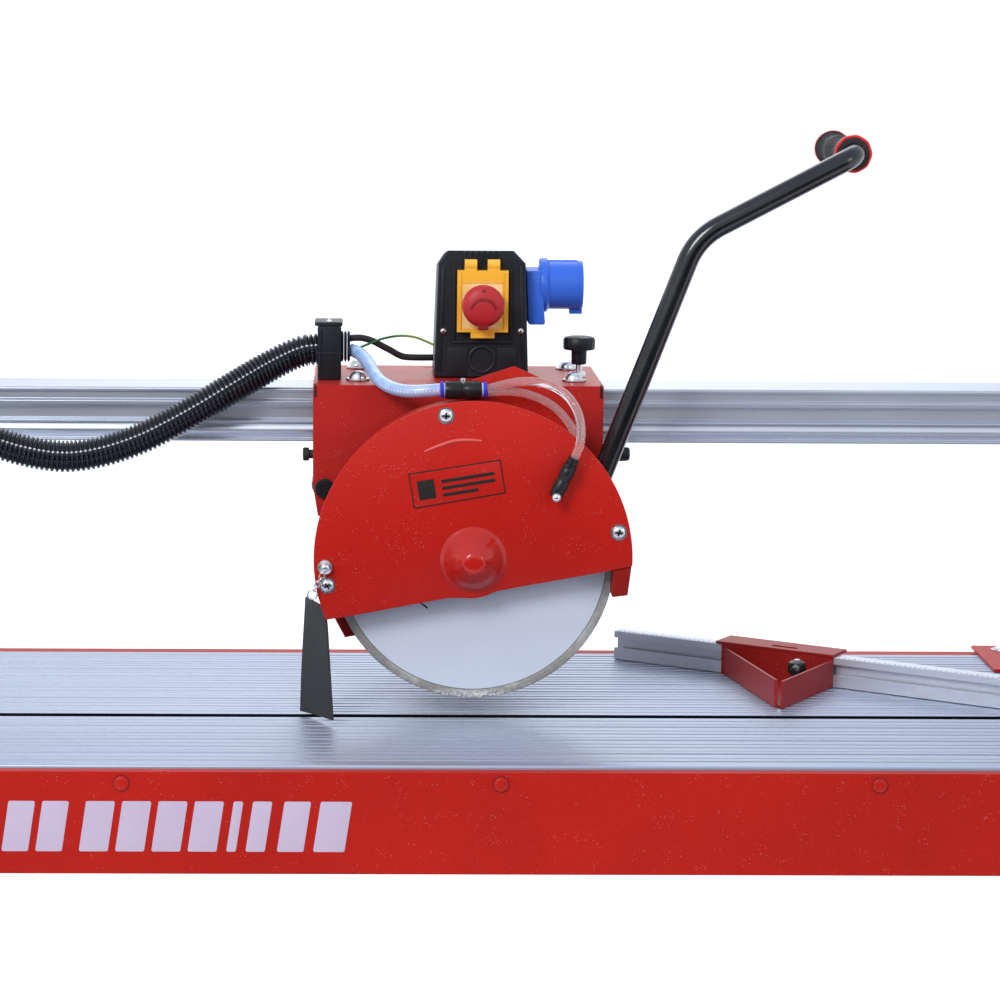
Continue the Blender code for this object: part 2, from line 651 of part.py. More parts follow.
def power_inlet():
    """An industrial inlet: slanted base, collar, open shroud, key and three pins."""
    y, z = INLET_AXIS
    base = plate([(0.1946, 1.1375), (0.2100, 1.1375), (0.2060, 1.1860), (0.1922, 1.1860)],
                 "XZ", y - 0.0230, y + 0.0230)
    shroud = turned([(0.0190, 0.2447), (0.0218, 0.2447), (0.0223, 0.2440), (0.0223, 0.2095),
                     (0.0245, 0.2085), (0.0245, 0.2050), (0.0, 0.2050), (0.0, 0.2120),
                     (0.0190, 0.2120)], (0.0, y, z), "X", 20)
    key = box((0.2330, y - 0.0040, z - 0.0258), (0.2447, y + 0.0040, z - 0.0205))
    pins = [cylinder(0.0025, 0.2110, 0.2370, (0.0, y + 0.0095 * sin(a), z + 0.0095 * cos(a)), "X", 10)
            for a in (pi, pi / 3, -pi / 3)]
    return join(base, shroud, key, *pins)


CLAMP_Y = (0.0290, 0.0642)


def conduit_clamp():
    """A block with a lid that grips the conduit, and a ring fitting on its right."""
    block = rounded(box((0.0030, CLAMP_Y[0], HOUSING_TOP + GAP), (0.0243, CLAMP_Y[1], 1.1400)), 0.0015)
    lid = rounded(box((0.0018, CLAMP_Y[0] - 0.0012, 1.1390), (0.0255, CLAMP_Y[1] + 0.0012, 1.1430)), 0.0008)
    fitting = turned([(0.0, 0.0314), (0.0130, 0.0314), (0.0142, 0.0300), (0.0142, 0.0262),
                      (0.0120, 0.0255), (0.0120, 0.0200), (0.0, 0.0200)],
                     (0.0, 0.0466, 1.1190), "X", 16)
    return join(block, lid, fitting)


MOTOR_CABLE_ROUTE = [
    (0.0320, 0.0466, 1.1260), (0.0370, 0.0466, 1.1272), (0.0430, 0.0470, 1.1274),
    (0.0522, 0.0500, 1.1244), (0.0610, 0.0545, 1.1188), (0.0686, 0.0585, 1.1145),
    (0.0755, 0.0620, 1.1102), (0.0824, 0.0645, 1.1076), (0.0962, 0.0680, 1.1067),
    (0.1080, 0.0700, 1.1066),
]


# ---------------------------------------------------------------- head
def swing_arm():
    """The plate from the pivot to the motor: a sleeve, a nose for the spindle, a handle pad."""
    lobe = [
        *arc((PIVOT.x, PIVOT.z), 0.0106, 80, 245, 8),
        *arc((HUB.x, HUB.z), 0.0600, 190, 330, 14),
        (0.2440, 0.9260), (0.2470, 0.9600), (0.2360, 0.9720), (0.2000, 0.9800), (0.1500, 0.9900),
    ]
    web = plate(lobe, "XZ", -0.0040, 0.0045, [ring((HUB.x, HUB.z), 0.0125, 16),
                                              ring((PIVOT.x, PIVOT.z), 0.0080, 16)])
    sleeve = washer(0.0106, 0.0080, -0.0045, 0.1485, (PIVOT.x, 0.0, PIVOT.z), "Y", 16)
    nose = washer(0.0320, 0.0125, -0.0312, -0.0030, (HUB.x, 0.0, HUB.z), "Y", 24)
    pad = box((0.2230, -0.0096, 0.9330), (0.2450, -0.0030, 0.9660))
    return join(web, sleeve, nose, pad)


def motor():
    """The induction motor: front flange, body, fan cover."""
    profile = [
        (0.0, 0.2080), (0.0480, 0.2080), (0.0600, 0.2030), (0.0635, 0.1950), (0.0635, 0.1500),
        (0.0590, 0.1490), (0.0590, 0.0180), (0.0640, 0.0170), (0.0640, 0.0048), (0.0, 0.0048),
    ]
    return turned(profile, (HUB.x, 0.0, HUB.z), "Y", 24)


def pivot_pin():
    """The rod that the head swings on, headed at both ends."""
    profile = [(0.0, 0.1565), (0.0085, 0.1565), (0.0085, 0.1523), (0.0070, 0.1523),
               (0.0070, -0.0083), (0.0090, -0.0083), (0.0090, -0.0105), (0.0075, -0.0120),
               (0.0, -0.0120)]
    return turned(profile, (PIVOT.x, 0.0, PIVOT.z), "Y", 16)


CASING_RADIUS = 0.1362
CASING_ENDS = ((0.0165, 0.8860), (0.0290, 0.8665), (0.2745, 0.9120), (0.2785, 0.9300))


def casing_outline(inset):
    """The band's outline: an arc about the cover's centre, closed by a straight lower edge."""
    (left_x, left_z), _, _, (right_x, right_z) = CASING_ENDS
    x, z = COVER_CENTRE
    start = degrees(atan2(right_z - z, right_x - x))
    end = 180 + degrees(atan2(z - left_z, x - left_x))
    return arc((x, z), CASING_RADIUS - inset, start, end, 26)


def guard_casing():
    """The back plate with its raised lobe, and the band round the blade, open below."""
    front, back = COVER_FRONT + SHEET + GAP, CASING_BACK
    lower = [CASING_ENDS[1], CASING_ENDS[2]]
    lobe = [(0.1180, 1.0700), (0.1410, 1.0985), (0.1770, 1.1105), (0.1980, 1.1015),
            (0.2144, 1.0890), (0.2255, 1.0760), (0.2345, 1.0585), (0.2430, 1.0200)]
    lobe_plate = plate(lobe, "XZ", back - SHEET, back - 0.0002)
    body = plate(casing_outline(0.0) + lower, "XZ", front, back)
    inner = casing_outline(SHEET)
    pocket = inner + [(inner[-1][0], 0.84), (inner[0][0], 0.84)]
    hollow = plate(pocket, "XZ", front - 0.01, back - SHEET)
    nose_hole = cylinder(0.0130, -0.040, -0.025, (HUB.x, 0.0, HUB.z), "Y", 24)
    return join(cut(body, hollow, nose_hole), lobe_plate)


def cover_outline():
    """A circle cut by a rising edge that sags a little under the boss."""
    x, z = COVER_CENTRE
    start = degrees(atan2(0.9407 - z, 0.2800 - x))
    end = 180 + degrees(atan2(z - 0.8924, x - 0.0143))
    round_part = arc((x, z), COVER_RADIUS, start, end, 44)
    return round_part + [(0.0850, 0.9046), (0.1080, 0.9080), (0.1270, 0.9098), (0.1430, 0.9120),
                         (0.1650, 0.9185)]


def guard_cover():
    """The front plate of the guard with its hollow cone boss over the spindle nut."""
    face = plate(cover_outline(), "XZ", COVER_FRONT, COVER_FRONT + SHEET)
    x, z = COVER_CENTRE
    tip = COVER_FRONT - 0.0230
    boss = turned([(0.0, COVER_FRONT + SHEET), (0.0285, COVER_FRONT + SHEET), (0.0285, COVER_FRONT),
                   (0.0265, COVER_FRONT - 0.0010), (0.0105, tip + 0.0035), (0.0075, tip + 0.0010),
                   (0.0035, tip), (0.0, tip)], (x, 0.0, z), "Y", 24)
    inside = turned([(0.0, COVER_FRONT + 0.01), (0.0255, COVER_FRONT + 0.01),
                     (0.0255, COVER_FRONT + 0.0005), (0.0088, tip + 0.0065), (0.0, tip + 0.0045)],
                    (x, 0.0, z), "Y", 24)
    return cut(join(face, boss), inside)


HANDLE_CORNERS = [
    (0.2288, HANDLE_Y, 0.9372), (0.3374, HANDLE_Y, 1.2232), (0.4764, HANDLE_Y, 1.2966),
    (0.4764, 0.1180, 1.2966),
]


def handle():
    """The bent pull handle, its last stretch turned back inside the grip."""
    lower = soften(HANDLE_CORNERS[:3], 0.060, 6)
    upper = soften(HANDLE_CORNERS[1:], 0.0170, 6)
    return tube(lower[:-1] + upper[1:], HANDLE_RADIUS, 4)


def grip():
    """The rubber grip with a flange at each end."""
    x, _, z = HANDLE_CORNERS[2]
    bore = HANDLE_RADIUS + GAP
    profile = [(bore, 0.1240), (0.0155, 0.1240), (0.0160, 0.1215), (0.0155, 0.1190),
               (0.0132, 0.1170), (0.0142, 0.0900), (0.0132, 0.0600), (0.0142, 0.0300),
               (0.0135, 0.0055), (0.0165, 0.0035), (0.0168, 0.0015), (0.0165, -0.0005),
               (bore, -0.0005)]
    return turned(profile, (x, 0.0, z), "Y", 20)


def spindle():
    """The motor's shaft with its inner flange and the shoulder that centres the blade."""
    y = SLOT_Y
    profile = [
        (0.0, 0.0043), (0.0100, 0.0043), (0.0100, y + 0.0080), (0.0290, y + 0.0070),
        (0.0300, y + 0.0016), (ARBOR_RADIUS - GAP, y + 0.0016), (ARBOR_RADIUS - GAP, y - 0.0011),
        (0.0080, y - 0.0011), (0.0080, y - 0.0300), (0.0, y - 0.0300),
    ]
    return turned(profile, (HUB.x, 0.0, HUB.z), "Y", 24)


def blade():
    """The diamond blade: a thin core with a thicker continuous rim."""
    y, core, rim = SLOT_Y, 0.0009, 0.0012
    edge = BLADE_RADIUS - 0.0065
    profile = [(ARBOR_RADIUS, y + rim), (edge, y + rim - 0.0002), (edge + 0.0002, y + rim),
               (BLADE_RADIUS, y + rim), (BLADE_RADIUS, y - rim), (edge + 0.0002, y - rim),
               (edge, y - core), (ARBOR_RADIUS, y - core)]
    return turned(profile, (HUB.x, 0.0, HUB.z), "Y", 48)


def blade_nut():
    """The outer flange and its hexagon nut."""
    y = SLOT_Y
    flange = turned([(0.0083, y - 0.0014), (0.0300, y - 0.0014), (0.0290, y - 0.0065),
                     (0.0180, y - 0.0090), (0.0083, y - 0.0090)], (HUB.x, 0.0, HUB.z), "Y", 24)
    nut = cylinder(0.0145, y - 0.0190, y - 0.0085, (HUB.x, 0.0, HUB.z), "Y", 6)
    bore = cylinder(0.0083, y - 0.0250, y + 0.0010, (HUB.x, 0.0, HUB.z), "Y", 24)
    return join(flange, cut(nut, bore))


def splash_flap():
    """The rubber strip that hangs from the guard's left corner to the table, turned to one side."""
    half = 0.0011
    rear = [(-0.0055, -0.0320, 0.9030), (-0.0062, -0.0325, 0.8900), (-0.0086, -0.0390, 0.8450),
            (-0.0099, -0.0460, 0.8022)]
    front = [(0.0095, -0.0770, 0.9030), (0.0128, -0.0776, 0.8900), (0.0160, -0.0880, 0.8450),
             (0.0191, -0.1004, 0.8022)]
    points = []
    for back_point, front_point in zip(map(Vector, rear), map(Vector, front)):
        along = (front_point - back_point).normalized()
        across = Vector((-along.y, along.x, 0.0)) * half
        points += [back_point - across, back_point + across, front_point + across,
                   front_point - across]
    last = 4 * (len(rear) - 1)
    faces = [(0, 1, 2, 3), (last + 3, last + 2, last + 1, last)]
    for start in range(0, last, 4):
        for i in range(4):
            j = (i + 1) % 4
            faces.append((start + i, start + 4 + i, start + 4 + j, start + j))
    mesh = bpy.data.meshes.new("strip")
    mesh.from_pydata([tuple(point) for point in points], [], faces)
    return as_mesh(bpy.data.objects.new("strip", mesh))


BLUE_HOSE_ROUTE = [
    (0.0342, 0.0440, 1.1158), (0.0375, 0.0436, 1.1155), (0.0410, 0.0405, 1.1140),
    (0.0447, 0.0345, 1.1115), (0.0480, 0.0265, 1.1082), (0.0508, 0.0170, 1.1045),
    (0.0535, 0.0070, 1.1010), (0.0560, -0.0040, 1.0978), (0.0595, -0.0150, 1.0945),
    (0.0645, -0.0250, 1.0915), (0.0705, -0.0330, 1.0893), (0.0780, -0.0390, 1.0882),
    (0.0870, -0.0430, 1.0885), (0.0960, -0.0448, 1.0892), (0.1060, -0.0450, 1.0903),
    (0.1118, -0.0450, 1.0905),
]
TUBE_FRONT_ROUTE = [
    (0.1539, -0.0450, 1.0925), (0.1590, -0.0458, 1.0935), (0.1717, -0.0520, 1.0975),
    (0.1820, -0.0570, 1.0997), (0.1923, -0.0625, 1.1004), (0.2015, -0.0675, 1.0997),
    (0.2096, -0.0725, 1.0972), (0.2165, -0.0770, 1.0935), (0.2225, -0.0810, 1.0885),
    (0.2270, -0.0850, 1.0825), (0.2305, -0.0880, 1.0750), (0.2325, -0.0905, 1.0660),
    (0.2328, -0.0920, 1.0570), (0.2315, -0.0925, 1.0480), (0.2290, -0.0920, 1.0410),
    (0.2270, -0.0915, 1.0365),
]


def hose_connector():
    """The push-in connector: a waisted body with a collet at each end."""
    profile = [(0.0, 0.1525), (0.0074, 0.1525), (0.0074, 0.1492), (0.0056, 0.1490), (0.0056, 0.1480),
               (0.0080, 0.1475), (0.0082, 0.1330), (0.0072, 0.1325), (0.0072, 0.1305),
               (0.0082, 0.1300), (0.0082, 0.1165), (0.0058, 0.1160), (0.0058, 0.1150),
               (0.0074, 0.1148), (0.0074, 0.1123), (0.0, 0.1123)]
    return turned(profile, (0.0, -0.0450, 1.0905), "X", 16)


def water_elbow():
    """The elbow that leads the front tube into the cover."""
    body = tube([(0.2266, -0.0910, 1.0360), (0.2225, -0.0900, 1.0270)], 0.0048, 3)
    socket = tube([(0.2235, -0.0902, 1.0292), (0.2110, -0.0880, 1.0020)], 0.0062, 4)
    foot = cylinder(0.0050, COVER_FRONT - 0.0100, COVER_FRONT - GAP, (0.2135, 0.0, 1.0085), "Y", 16)
    return join(socket, body, foot)


# ---------------------------------------------------------------- fence
def on_fence(obj):
    """Turn and move a piece made in the fence's own frame to its place on the table."""
    obj = as_mesh(obj)
    turn = Matrix.Rotation(FENCE_ANGLE, 4, "Z")
    obj.matrix_world = Matrix.Translation(FENCE_START) @ turn @ obj.matrix_world
    return obj


def angle_fence():
    """A slim grooved aluminium bar; its front face looks at the blade."""
    low, high, thick = TABLE_TOP + 0.0006, TABLE_TOP + 0.0286, 0.0165
    outline = [
        (0.0, low), (0.0, 0.8121), (0.0028, 0.8121), (0.0028, 0.8101), (0.0070, 0.8101),
        (0.0070, 0.8241), (0.0028, 0.8241), (0.0028, 0.8221), (0.0, 0.8221), (0.0, high),
        (thick, high), (thick, low),
    ]
    return on_fence(plate(outline, "YZ", 0.0, FENCE_LENGTH))


BRACKET_START, BRACKET_END, BRACKET_REACH = 0.1160, 0.2300, 0.1100


def fence_bracket():
    """A folded angle guide: a square arm, a 45 degree arm, a floor and a top plate."""
    low = TABLE_TOP + 0.0006
    sheet = 0.0025
    back = -GAP
    start, end, reach = BRACKET_START, BRACKET_END, -BRACKET_REACH
    floor = plate([(start, back), (end, back), (end, reach + 0.004), (end - 0.006, reach + 0.004)],
                  "XY", low, low + 0.0020)
    square_arm = box((end - sheet, reach, low), (end, back, low + 0.0255))
    slope = [(start, back), (start + 0.0036, back), (end - 0.0066, reach + 0.0030),
             (end - 0.0102, reach + 0.0030)]
    mitre_arm = plate(slope, "XY", low, low + 0.0255)
    wall = box((start, back - sheet, low), (end, back, low + 0.0300))
    lip = back - sheet - 0.0004
    roof = plate([(start - 0.006, lip), (end + 0.0004, lip), (end + 0.0004, 0.0290), (start - 0.006, 0.0290)],
                 "XY", low + 0.0285, low + 0.0310,
                 [[(0.1640, 0.0040), (0.1900, 0.0040), (0.1900, 0.0100), (0.1640, 0.0100)]])
    return on_fence(join(wall, floor, square_arm, mitre_arm, roof))


LEVER_PLACE = (0.2080, -0.0330)


def clamp_lever():
    """The clamp screw of the bracket with its short lever."""
    x, y = LEVER_PLACE
    low = TABLE_TOP + 0.0029
    stem = turned([(0.0, low + 0.0260), (0.0040, low + 0.0250), (0.0052, low + 0.0220),
                   (0.0052, low + 0.0170), (0.0040, low + 0.0160), (0.0040, low + 0.0020),
                   (0.0060, low + 0.0020), (0.0060, low), (0.0, low)], (x, y, 0.0), "Z", 16)
    arm = tube([(x, y, low + 0.0190), (x + 0.0060, y - 0.0150, low + 0.0205),
                (x + 0.0070, y - 0.0240, low + 0.0200)], 0.0028, 2)
    return on_fence(join(stem, arm))


# ---------------------------------------------------------------- assembly
def body(name, place, pieces):
    """An empty on a joint's axis that carries the pieces of one moving body."""
    empty = bpy.data.objects.new(name + "_joint", None)
    empty.location = place
    parts.objects.link(empty)
    bpy.context.view_layer.update()
    for piece in pieces:
        piece.parent = empty
        piece.matrix_parent_inverse = empty.matrix_world.inverted()


keep(rail(-1), "front_rail", "red_paint")
keep(rail(1), "rear_rail", "red_paint")
keep(join(base_frame(), conduit_gland()), "base_frame", "red_paint")
keep(table_slab(SLOT_Y - SLOT_HALF_WIDTH, -0.2388), "table_slab_front", "aluminium")
keep(table_slab(SLOT_Y + SLOT_HALF_WIDTH, 0.2202), "table_slab_rear", "aluminium")
keep(water_tray(), "water_tray", "zinc")
keep(water_pump(), "water_pump", "black_plastic")

SIDES = {"left": -1, "right": 1}
bridge = [keep(beam(), "beam", "aluminium")]
for label, side in SIDES.items():
    keep(end_support(side), "end_support_" + label, "red_paint")
    leg = [keep(leg_frame(side), "leg_" + label, "red_paint")]
    for where, face in (("front", -1), ("rear", 1)):
        leg.append(keep(leg_foot(side, face), "foot_%s_%s" % (label, where), "black_rubber"))
    body("leg_" + label, (side * LEG_HINGE[0], 0.0, LEG_HINGE[1]), leg)
    bridge.append(keep(tilt_arm(side), "tilt_arm_" + label, "red_paint"))
    knob = keep(tilt_knob(side), "tilt_knob_" + label, "black_plastic")
    knob_y, knob_z = polar(TILT_LOCK_RADIUS, TILT_LOCK_ANGLE)
    body("tilt_knob_" + label, (side * ARM_X[1], knob_y, knob_z), [knob])
bridge.append(keep(conduit_hanger(), "conduit_hanger", "steel"))
bridge.append(keep(tube(smooth_route(LOWER_CONDUIT_ROUTE, 0.035), CONDUIT_RADIUS, 2),
                   "conduit_lower", "black_plastic"))
body("bridge", TILT_PIVOT, bridge)

carriage = [
    keep(carriage_housing(), "carriage_housing", "red_paint"),
    keep(switch_box(), "switch_box", "black_plastic"),
    keep(power_inlet(), "power_inlet", "blue_plastic"),
    keep(conduit_clamp(), "conduit_clamp", "black_plastic"),
    keep(tube(smooth_route(CONDUIT_ROUTE, 0.030), CONDUIT_RADIUS, 2), "conduit", "black_plastic"),
    keep(tube(smooth_route(MOTOR_CABLE_ROUTE, 0.007), 0.0030, 2), "motor_cable", "black_rubber"),
]
ROLLER_NAMES = ("front_left", "front_right", "rear_left", "rear_right")
for place_name, (roller_x, roller_y) in zip(ROLLER_NAMES, ROLLER_PLACES):
    carriage.append(keep(roller_bolt(roller_x, roller_y), "roller_bolt_" + place_name, "zinc"))
    roller = keep(guide_roller(roller_x, roller_y), "guide_roller_" + place_name, "steel")
    body("roller_" + place_name, (roller_x, roller_y, GROOVE_Z), [roller])
body("carriage", (HOUSING_X[0], BEAM_FRONT, GROOVE_Z), carriage)

body("carriage_lock", (*LOCK_SCREW, HOUSING_TOP),
     [keep(carriage_lock_knob(), "carriage_lock_knob", "black_plastic")])
body("head_lock", (HOUSING_X[1], 0.0200, 1.0253),
     [keep(head_lock_knob(), "head_lock_knob", "black_plastic")])
body("flap", (0.1519, *FLAP_HINGE), [keep(switch_flap(), "switch_flap", "yellow_plastic")])
body("stop", (0.1519, 0.0340, 1.1576), [keep(stop_button(), "stop_button", "red_plastic")])
body("start", (0.1519, 0.0450, 1.1430), [keep(start_button(), "start_button", "green_plastic")])

body("head", PIVOT, [
    keep(swing_arm(), "swing_arm", "grey_paint"),
    keep(motor(), "motor", "grey_paint"),
    keep(guard_casing(), "guard_casing", "red_paint"),
    keep(guard_cover(), "guard_cover", "red_paint"),
    keep(handle(), "handle", "black_paint"),
    keep(grip(), "grip", "black_rubber"),
    keep(hose_connector(), "hose_connector", "black_plastic"),
    keep(tube(smooth_route(BLUE_HOSE_ROUTE, 0.008), 0.0058, 3), "blue_hose", "blue_hose"),
    keep(tube(smooth_route(TUBE_FRONT_ROUTE, 0.007), 0.0038, 2), "tube_front", "clear_hose"),
    keep(water_elbow(), "water_elbow", "black_plastic"),
    keep(splash_flap(), "splash_flap", "black_rubber"),
])
keep(pivot_pin(), "pivot_pin", "black_plastic")
body("blade_spin", HUB, [
    keep(spindle(), "spindle", "steel"),
    keep(blade(), "blade", "steel"),
    keep(blade_nut(), "blade_nut", "steel"),
])

body("fence", FENCE_START, [keep(angle_fence(), "angle_fence", "aluminium")])
bracket_place = FENCE_START + Matrix.Rotation(FENCE_ANGLE, 3, "Z") @ Vector((BRACKET_START, 0, 0))
body("bracket", bracket_place, [keep(fence_bracket(), "fence_bracket", "red_paint")])
lever_place = FENCE_START + Matrix.Rotation(FENCE_ANGLE, 3, "Z") @ Vector((*LEVER_PLACE, 0))
body("lever", lever_place, [keep(clamp_lever(), "clamp_lever", "black_plastic")])
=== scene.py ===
"""Looks of a bridge wet tile saw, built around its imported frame.

Metres, +Z up, +X to the operator's right, +Y away from the operator.
Shapes are grids worked out with numpy; finishes are node trees on Object coordinates.
"""

import json
from math import cos, pi, radians, sin

import bmesh
import bpy
import numpy as np
from mathutils import Matrix, Vector

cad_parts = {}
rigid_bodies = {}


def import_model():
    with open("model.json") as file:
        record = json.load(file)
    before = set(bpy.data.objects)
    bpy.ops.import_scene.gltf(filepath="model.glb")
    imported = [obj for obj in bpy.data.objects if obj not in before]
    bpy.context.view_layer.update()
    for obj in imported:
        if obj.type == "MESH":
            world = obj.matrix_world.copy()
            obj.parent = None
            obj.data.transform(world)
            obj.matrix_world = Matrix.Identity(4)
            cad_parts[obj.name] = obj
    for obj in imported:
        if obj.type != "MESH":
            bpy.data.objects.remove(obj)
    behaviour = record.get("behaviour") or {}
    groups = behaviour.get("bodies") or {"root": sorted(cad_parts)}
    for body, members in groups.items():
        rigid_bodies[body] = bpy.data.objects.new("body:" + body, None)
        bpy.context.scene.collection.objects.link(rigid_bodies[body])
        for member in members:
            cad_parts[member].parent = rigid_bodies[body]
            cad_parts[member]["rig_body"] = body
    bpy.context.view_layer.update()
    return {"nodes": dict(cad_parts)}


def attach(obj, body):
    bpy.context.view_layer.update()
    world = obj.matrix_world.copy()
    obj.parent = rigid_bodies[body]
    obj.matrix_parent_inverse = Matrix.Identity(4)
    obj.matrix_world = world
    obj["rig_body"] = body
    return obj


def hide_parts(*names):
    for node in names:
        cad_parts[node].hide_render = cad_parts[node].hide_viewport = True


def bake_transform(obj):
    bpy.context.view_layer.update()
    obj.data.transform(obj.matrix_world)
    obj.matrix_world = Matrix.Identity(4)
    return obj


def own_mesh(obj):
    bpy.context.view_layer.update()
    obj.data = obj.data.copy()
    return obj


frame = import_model()
NODES = frame["nodes"]


# ---------------------------------------------------------------- camera
def make_camera():
    """The operator's view from the front, a little to the left of the motor head."""
    place = Vector((0.0403, -2.7066, 1.4094))
    yaw, pitch, roll = radians(0.757), radians(8.900), radians(0.368)
    forward = Vector((sin(yaw) * cos(pitch), cos(yaw) * cos(pitch), -sin(pitch)))
    right = Vector((cos(yaw), -sin(yaw), 0.0))
    up = right.cross(forward)
    level, upright = right * cos(roll) + up * sin(roll), up * cos(roll) - right * sin(roll)
    data = bpy.data.cameras.new("view")
    data.sensor_width = 36.0
    data.lens = 109.91
    data.shift_x = 0.1019
    data.clip_end = 60.0
    camera = bpy.data.objects.new("view", data)
    columns = (level, upright, -forward)
    camera.matrix_world = Matrix([
        (columns[0][i], columns[1][i], columns[2][i], place[i]) for i in range(3)
    ] + [(0.0, 0.0, 0.0, 1.0)])
    bpy.context.scene.collection.objects.link(camera)
    bpy.context.scene.camera = camera


make_camera()


# ---------------------------------------------------------------- shader writing
class Value:
    """A shader socket that Python's operators turn into Math nodes."""

    def __init__(self, finish, socket):
        self.finish = finish
        self.socket = socket

    def maths(self, operation, first, second=0.0):
        return self.finish.maths(operation, first, second)

    def __add__(self, other):
        return self.maths("ADD", self, other)

    def __sub__(self, other):
        return self.maths("SUBTRACT", self, other)

    def __rsub__(self, other):
        return self.maths("SUBTRACT", other, self)

    def __mul__(self, other):
        return self.maths("MULTIPLY", self, other)

    def __gt__(self, other):
        return self.maths("GREATER_THAN", self, other)

    def __lt__(self, other):
        return self.maths("LESS_THAN", self, other)

    __radd__ = __add__
    __rmul__ = __mul__


class Finish:
    """A Principled material whose node tree is written in Python expressions."""

    def __init__(self, name, colour, roughness=0.5, metallic=0.0, **fixed):
        self.material = bpy.data.materials.new(name)
        self.material.use_nodes = True
        self.tree = self.material.node_tree
        self.shader = self.tree.nodes["Principled BSDF"]
        self.colour = colour
        self.roughness = roughness
        self.set("Base Color", (*colour, 1.0))
        self.set("Roughness", roughness)
        self.set("Metallic", metallic)
        for socket, value in fixed.items():
            self.set(socket.replace("_", " "), value)
        self.place = self.node("ShaderNodeTexCoord", {}, output="Object")

    def set(self, socket, value):
        self.shader.inputs[socket].default_value = value

    def node(self, kind, settings, *values, output=0, **named):
        """Make a node, set it up, then feed its sockets with numbers or links."""
        made = self.tree.nodes.new(kind)
        for key, value in settings.items():
            setattr(made, key, value)
        pairs = list(zip(made.inputs, values))
        pairs += [(made.inputs[key.replace("_", " ")], value) for key, value in named.items()]
        for socket, value in pairs:
            if isinstance(value, Value):
                self.tree.links.new(value.socket, socket)
            elif value is not None:
                socket.default_value = value
        return Value(self, made.outputs[output])

    def maths(self, operation, first, second=0.0):
        return self.node("ShaderNodeMath", {"operation": operation}, first, second)

    def feed(self, socket, value):
        self.tree.links.new(value.socket, self.shader.inputs[socket])

    def stretched(self, scale, place=(0.0, 0.0, 0.0)):
        """Object coordinates scaled by a different amount along each axis."""
        return self.node("ShaderNodeMapping", {}, self.place, Location=place, Scale=scale)

    def noise(self, scale, detail=3.0, stretch=(1.0, 1.0, 1.0), rough=0.5):
        return self.node("ShaderNodeTexNoise", {}, Vector=self.stretched(stretch), Scale=scale,
                         Detail=detail, Roughness=rough)

    def cells(self, scale, stretch=(1.0, 1.0, 1.0)):
        return self.node("ShaderNodeTexVoronoi", {}, Vector=self.stretched(stretch), Scale=scale)

    def remap(self, value, low, high, to_low=0.0, to_high=1.0):
        return self.node("ShaderNodeMapRange", {}, value, low, high, to_low, to_high)

    def mix(self, share, first, second):
        """Blend two colours, given as socket values or plain triples."""
        made = self.tree.nodes.new("ShaderNodeMix")
        made.data_type = "RGBA"
        for socket, value in zip((made.inputs[0], made.inputs[6], made.inputs[7]), (share, first, second)):
            if isinstance(value, Value):
                self.tree.links.new(value.socket, socket)
            else:
                socket.default_value = value if socket == made.inputs[0] else (*value, 1.0)
        return Value(self, made.outputs[2])

    def shade(self, factor):
        """The finish's own colour made lighter or darker."""
        return tuple(min(1.0, part * factor) for part in self.colour)

    def bump(self, height, strength, distance=0.001):
        self.feed("Normal", self.node("ShaderNodeBump", {}, Height=height, Strength=strength,
                                      Distance=distance))
        return self


def powder_coat(name, colour, roughness=0.34, glow=0.06):
    """Orange-peel powder paint: broad shade drift, fine pale and dark specks, dimpled gloss."""
    f = Finish(name, colour, roughness, Specular_IOR_Level=0.16, Coat_Weight=glow, Coat_Roughness=0.22)
    drift = f.remap(f.noise(9.0, 4.0), 0.3, 0.7)
    ground = f.mix(drift, f.shade(0.90), f.shade(1.08))
    fine = f.noise(900.0, 2.0)
    ground = f.mix(f.remap(fine, 0.30, 0.75) * 0.35, ground, f.shade(0.72))
    specks = (f.cells(420.0) < 0.16) * f.remap(f.noise(60.0), 0.50, 0.62)
    pale = tuple(0.55 * part + 0.30 for part in colour)
    f.feed("Base Color", f.mix(specks * 0.40, ground, pale))
    f.feed("Roughness", roughness + 0.12 * f.noise(140.0, 3.0))
    return f.bump(f.noise(420.0, 2.0) + 0.5 * fine, 0.22, 0.0006)


def extruded_metal(name, colour, roughness=0.36, stripes=1.0):
    """Drawn aluminium: long faint die lines along X, cloudy oxide, soft metal gloss."""
    f = Finish(name, colour, roughness, 0.85)
    lines = f.noise(1.0, 4.0, (0.6, 900.0, 900.0), 0.7)
    bands = f.noise(1.0, 2.0, (0.4, 90.0, 90.0))
    clouds = f.remap(f.noise(5.0, 4.0), 0.35, 0.70)
    tone = f.mix(f.remap(lines, 0.35, 0.65) * (0.55 * stripes), f.shade(0.90), f.shade(1.10))
    tone = f.mix(f.remap(bands, 0.40, 0.62) * (0.40 * stripes), tone, f.shade(0.80))
    f.feed("Base Color", f.mix(clouds * 0.25, tone, f.shade(1.12)))
    f.feed("Roughness", roughness + 0.20 * (lines - 0.5) + 0.06 * clouds)
    return f.bump(lines, 0.25, 0.0002)


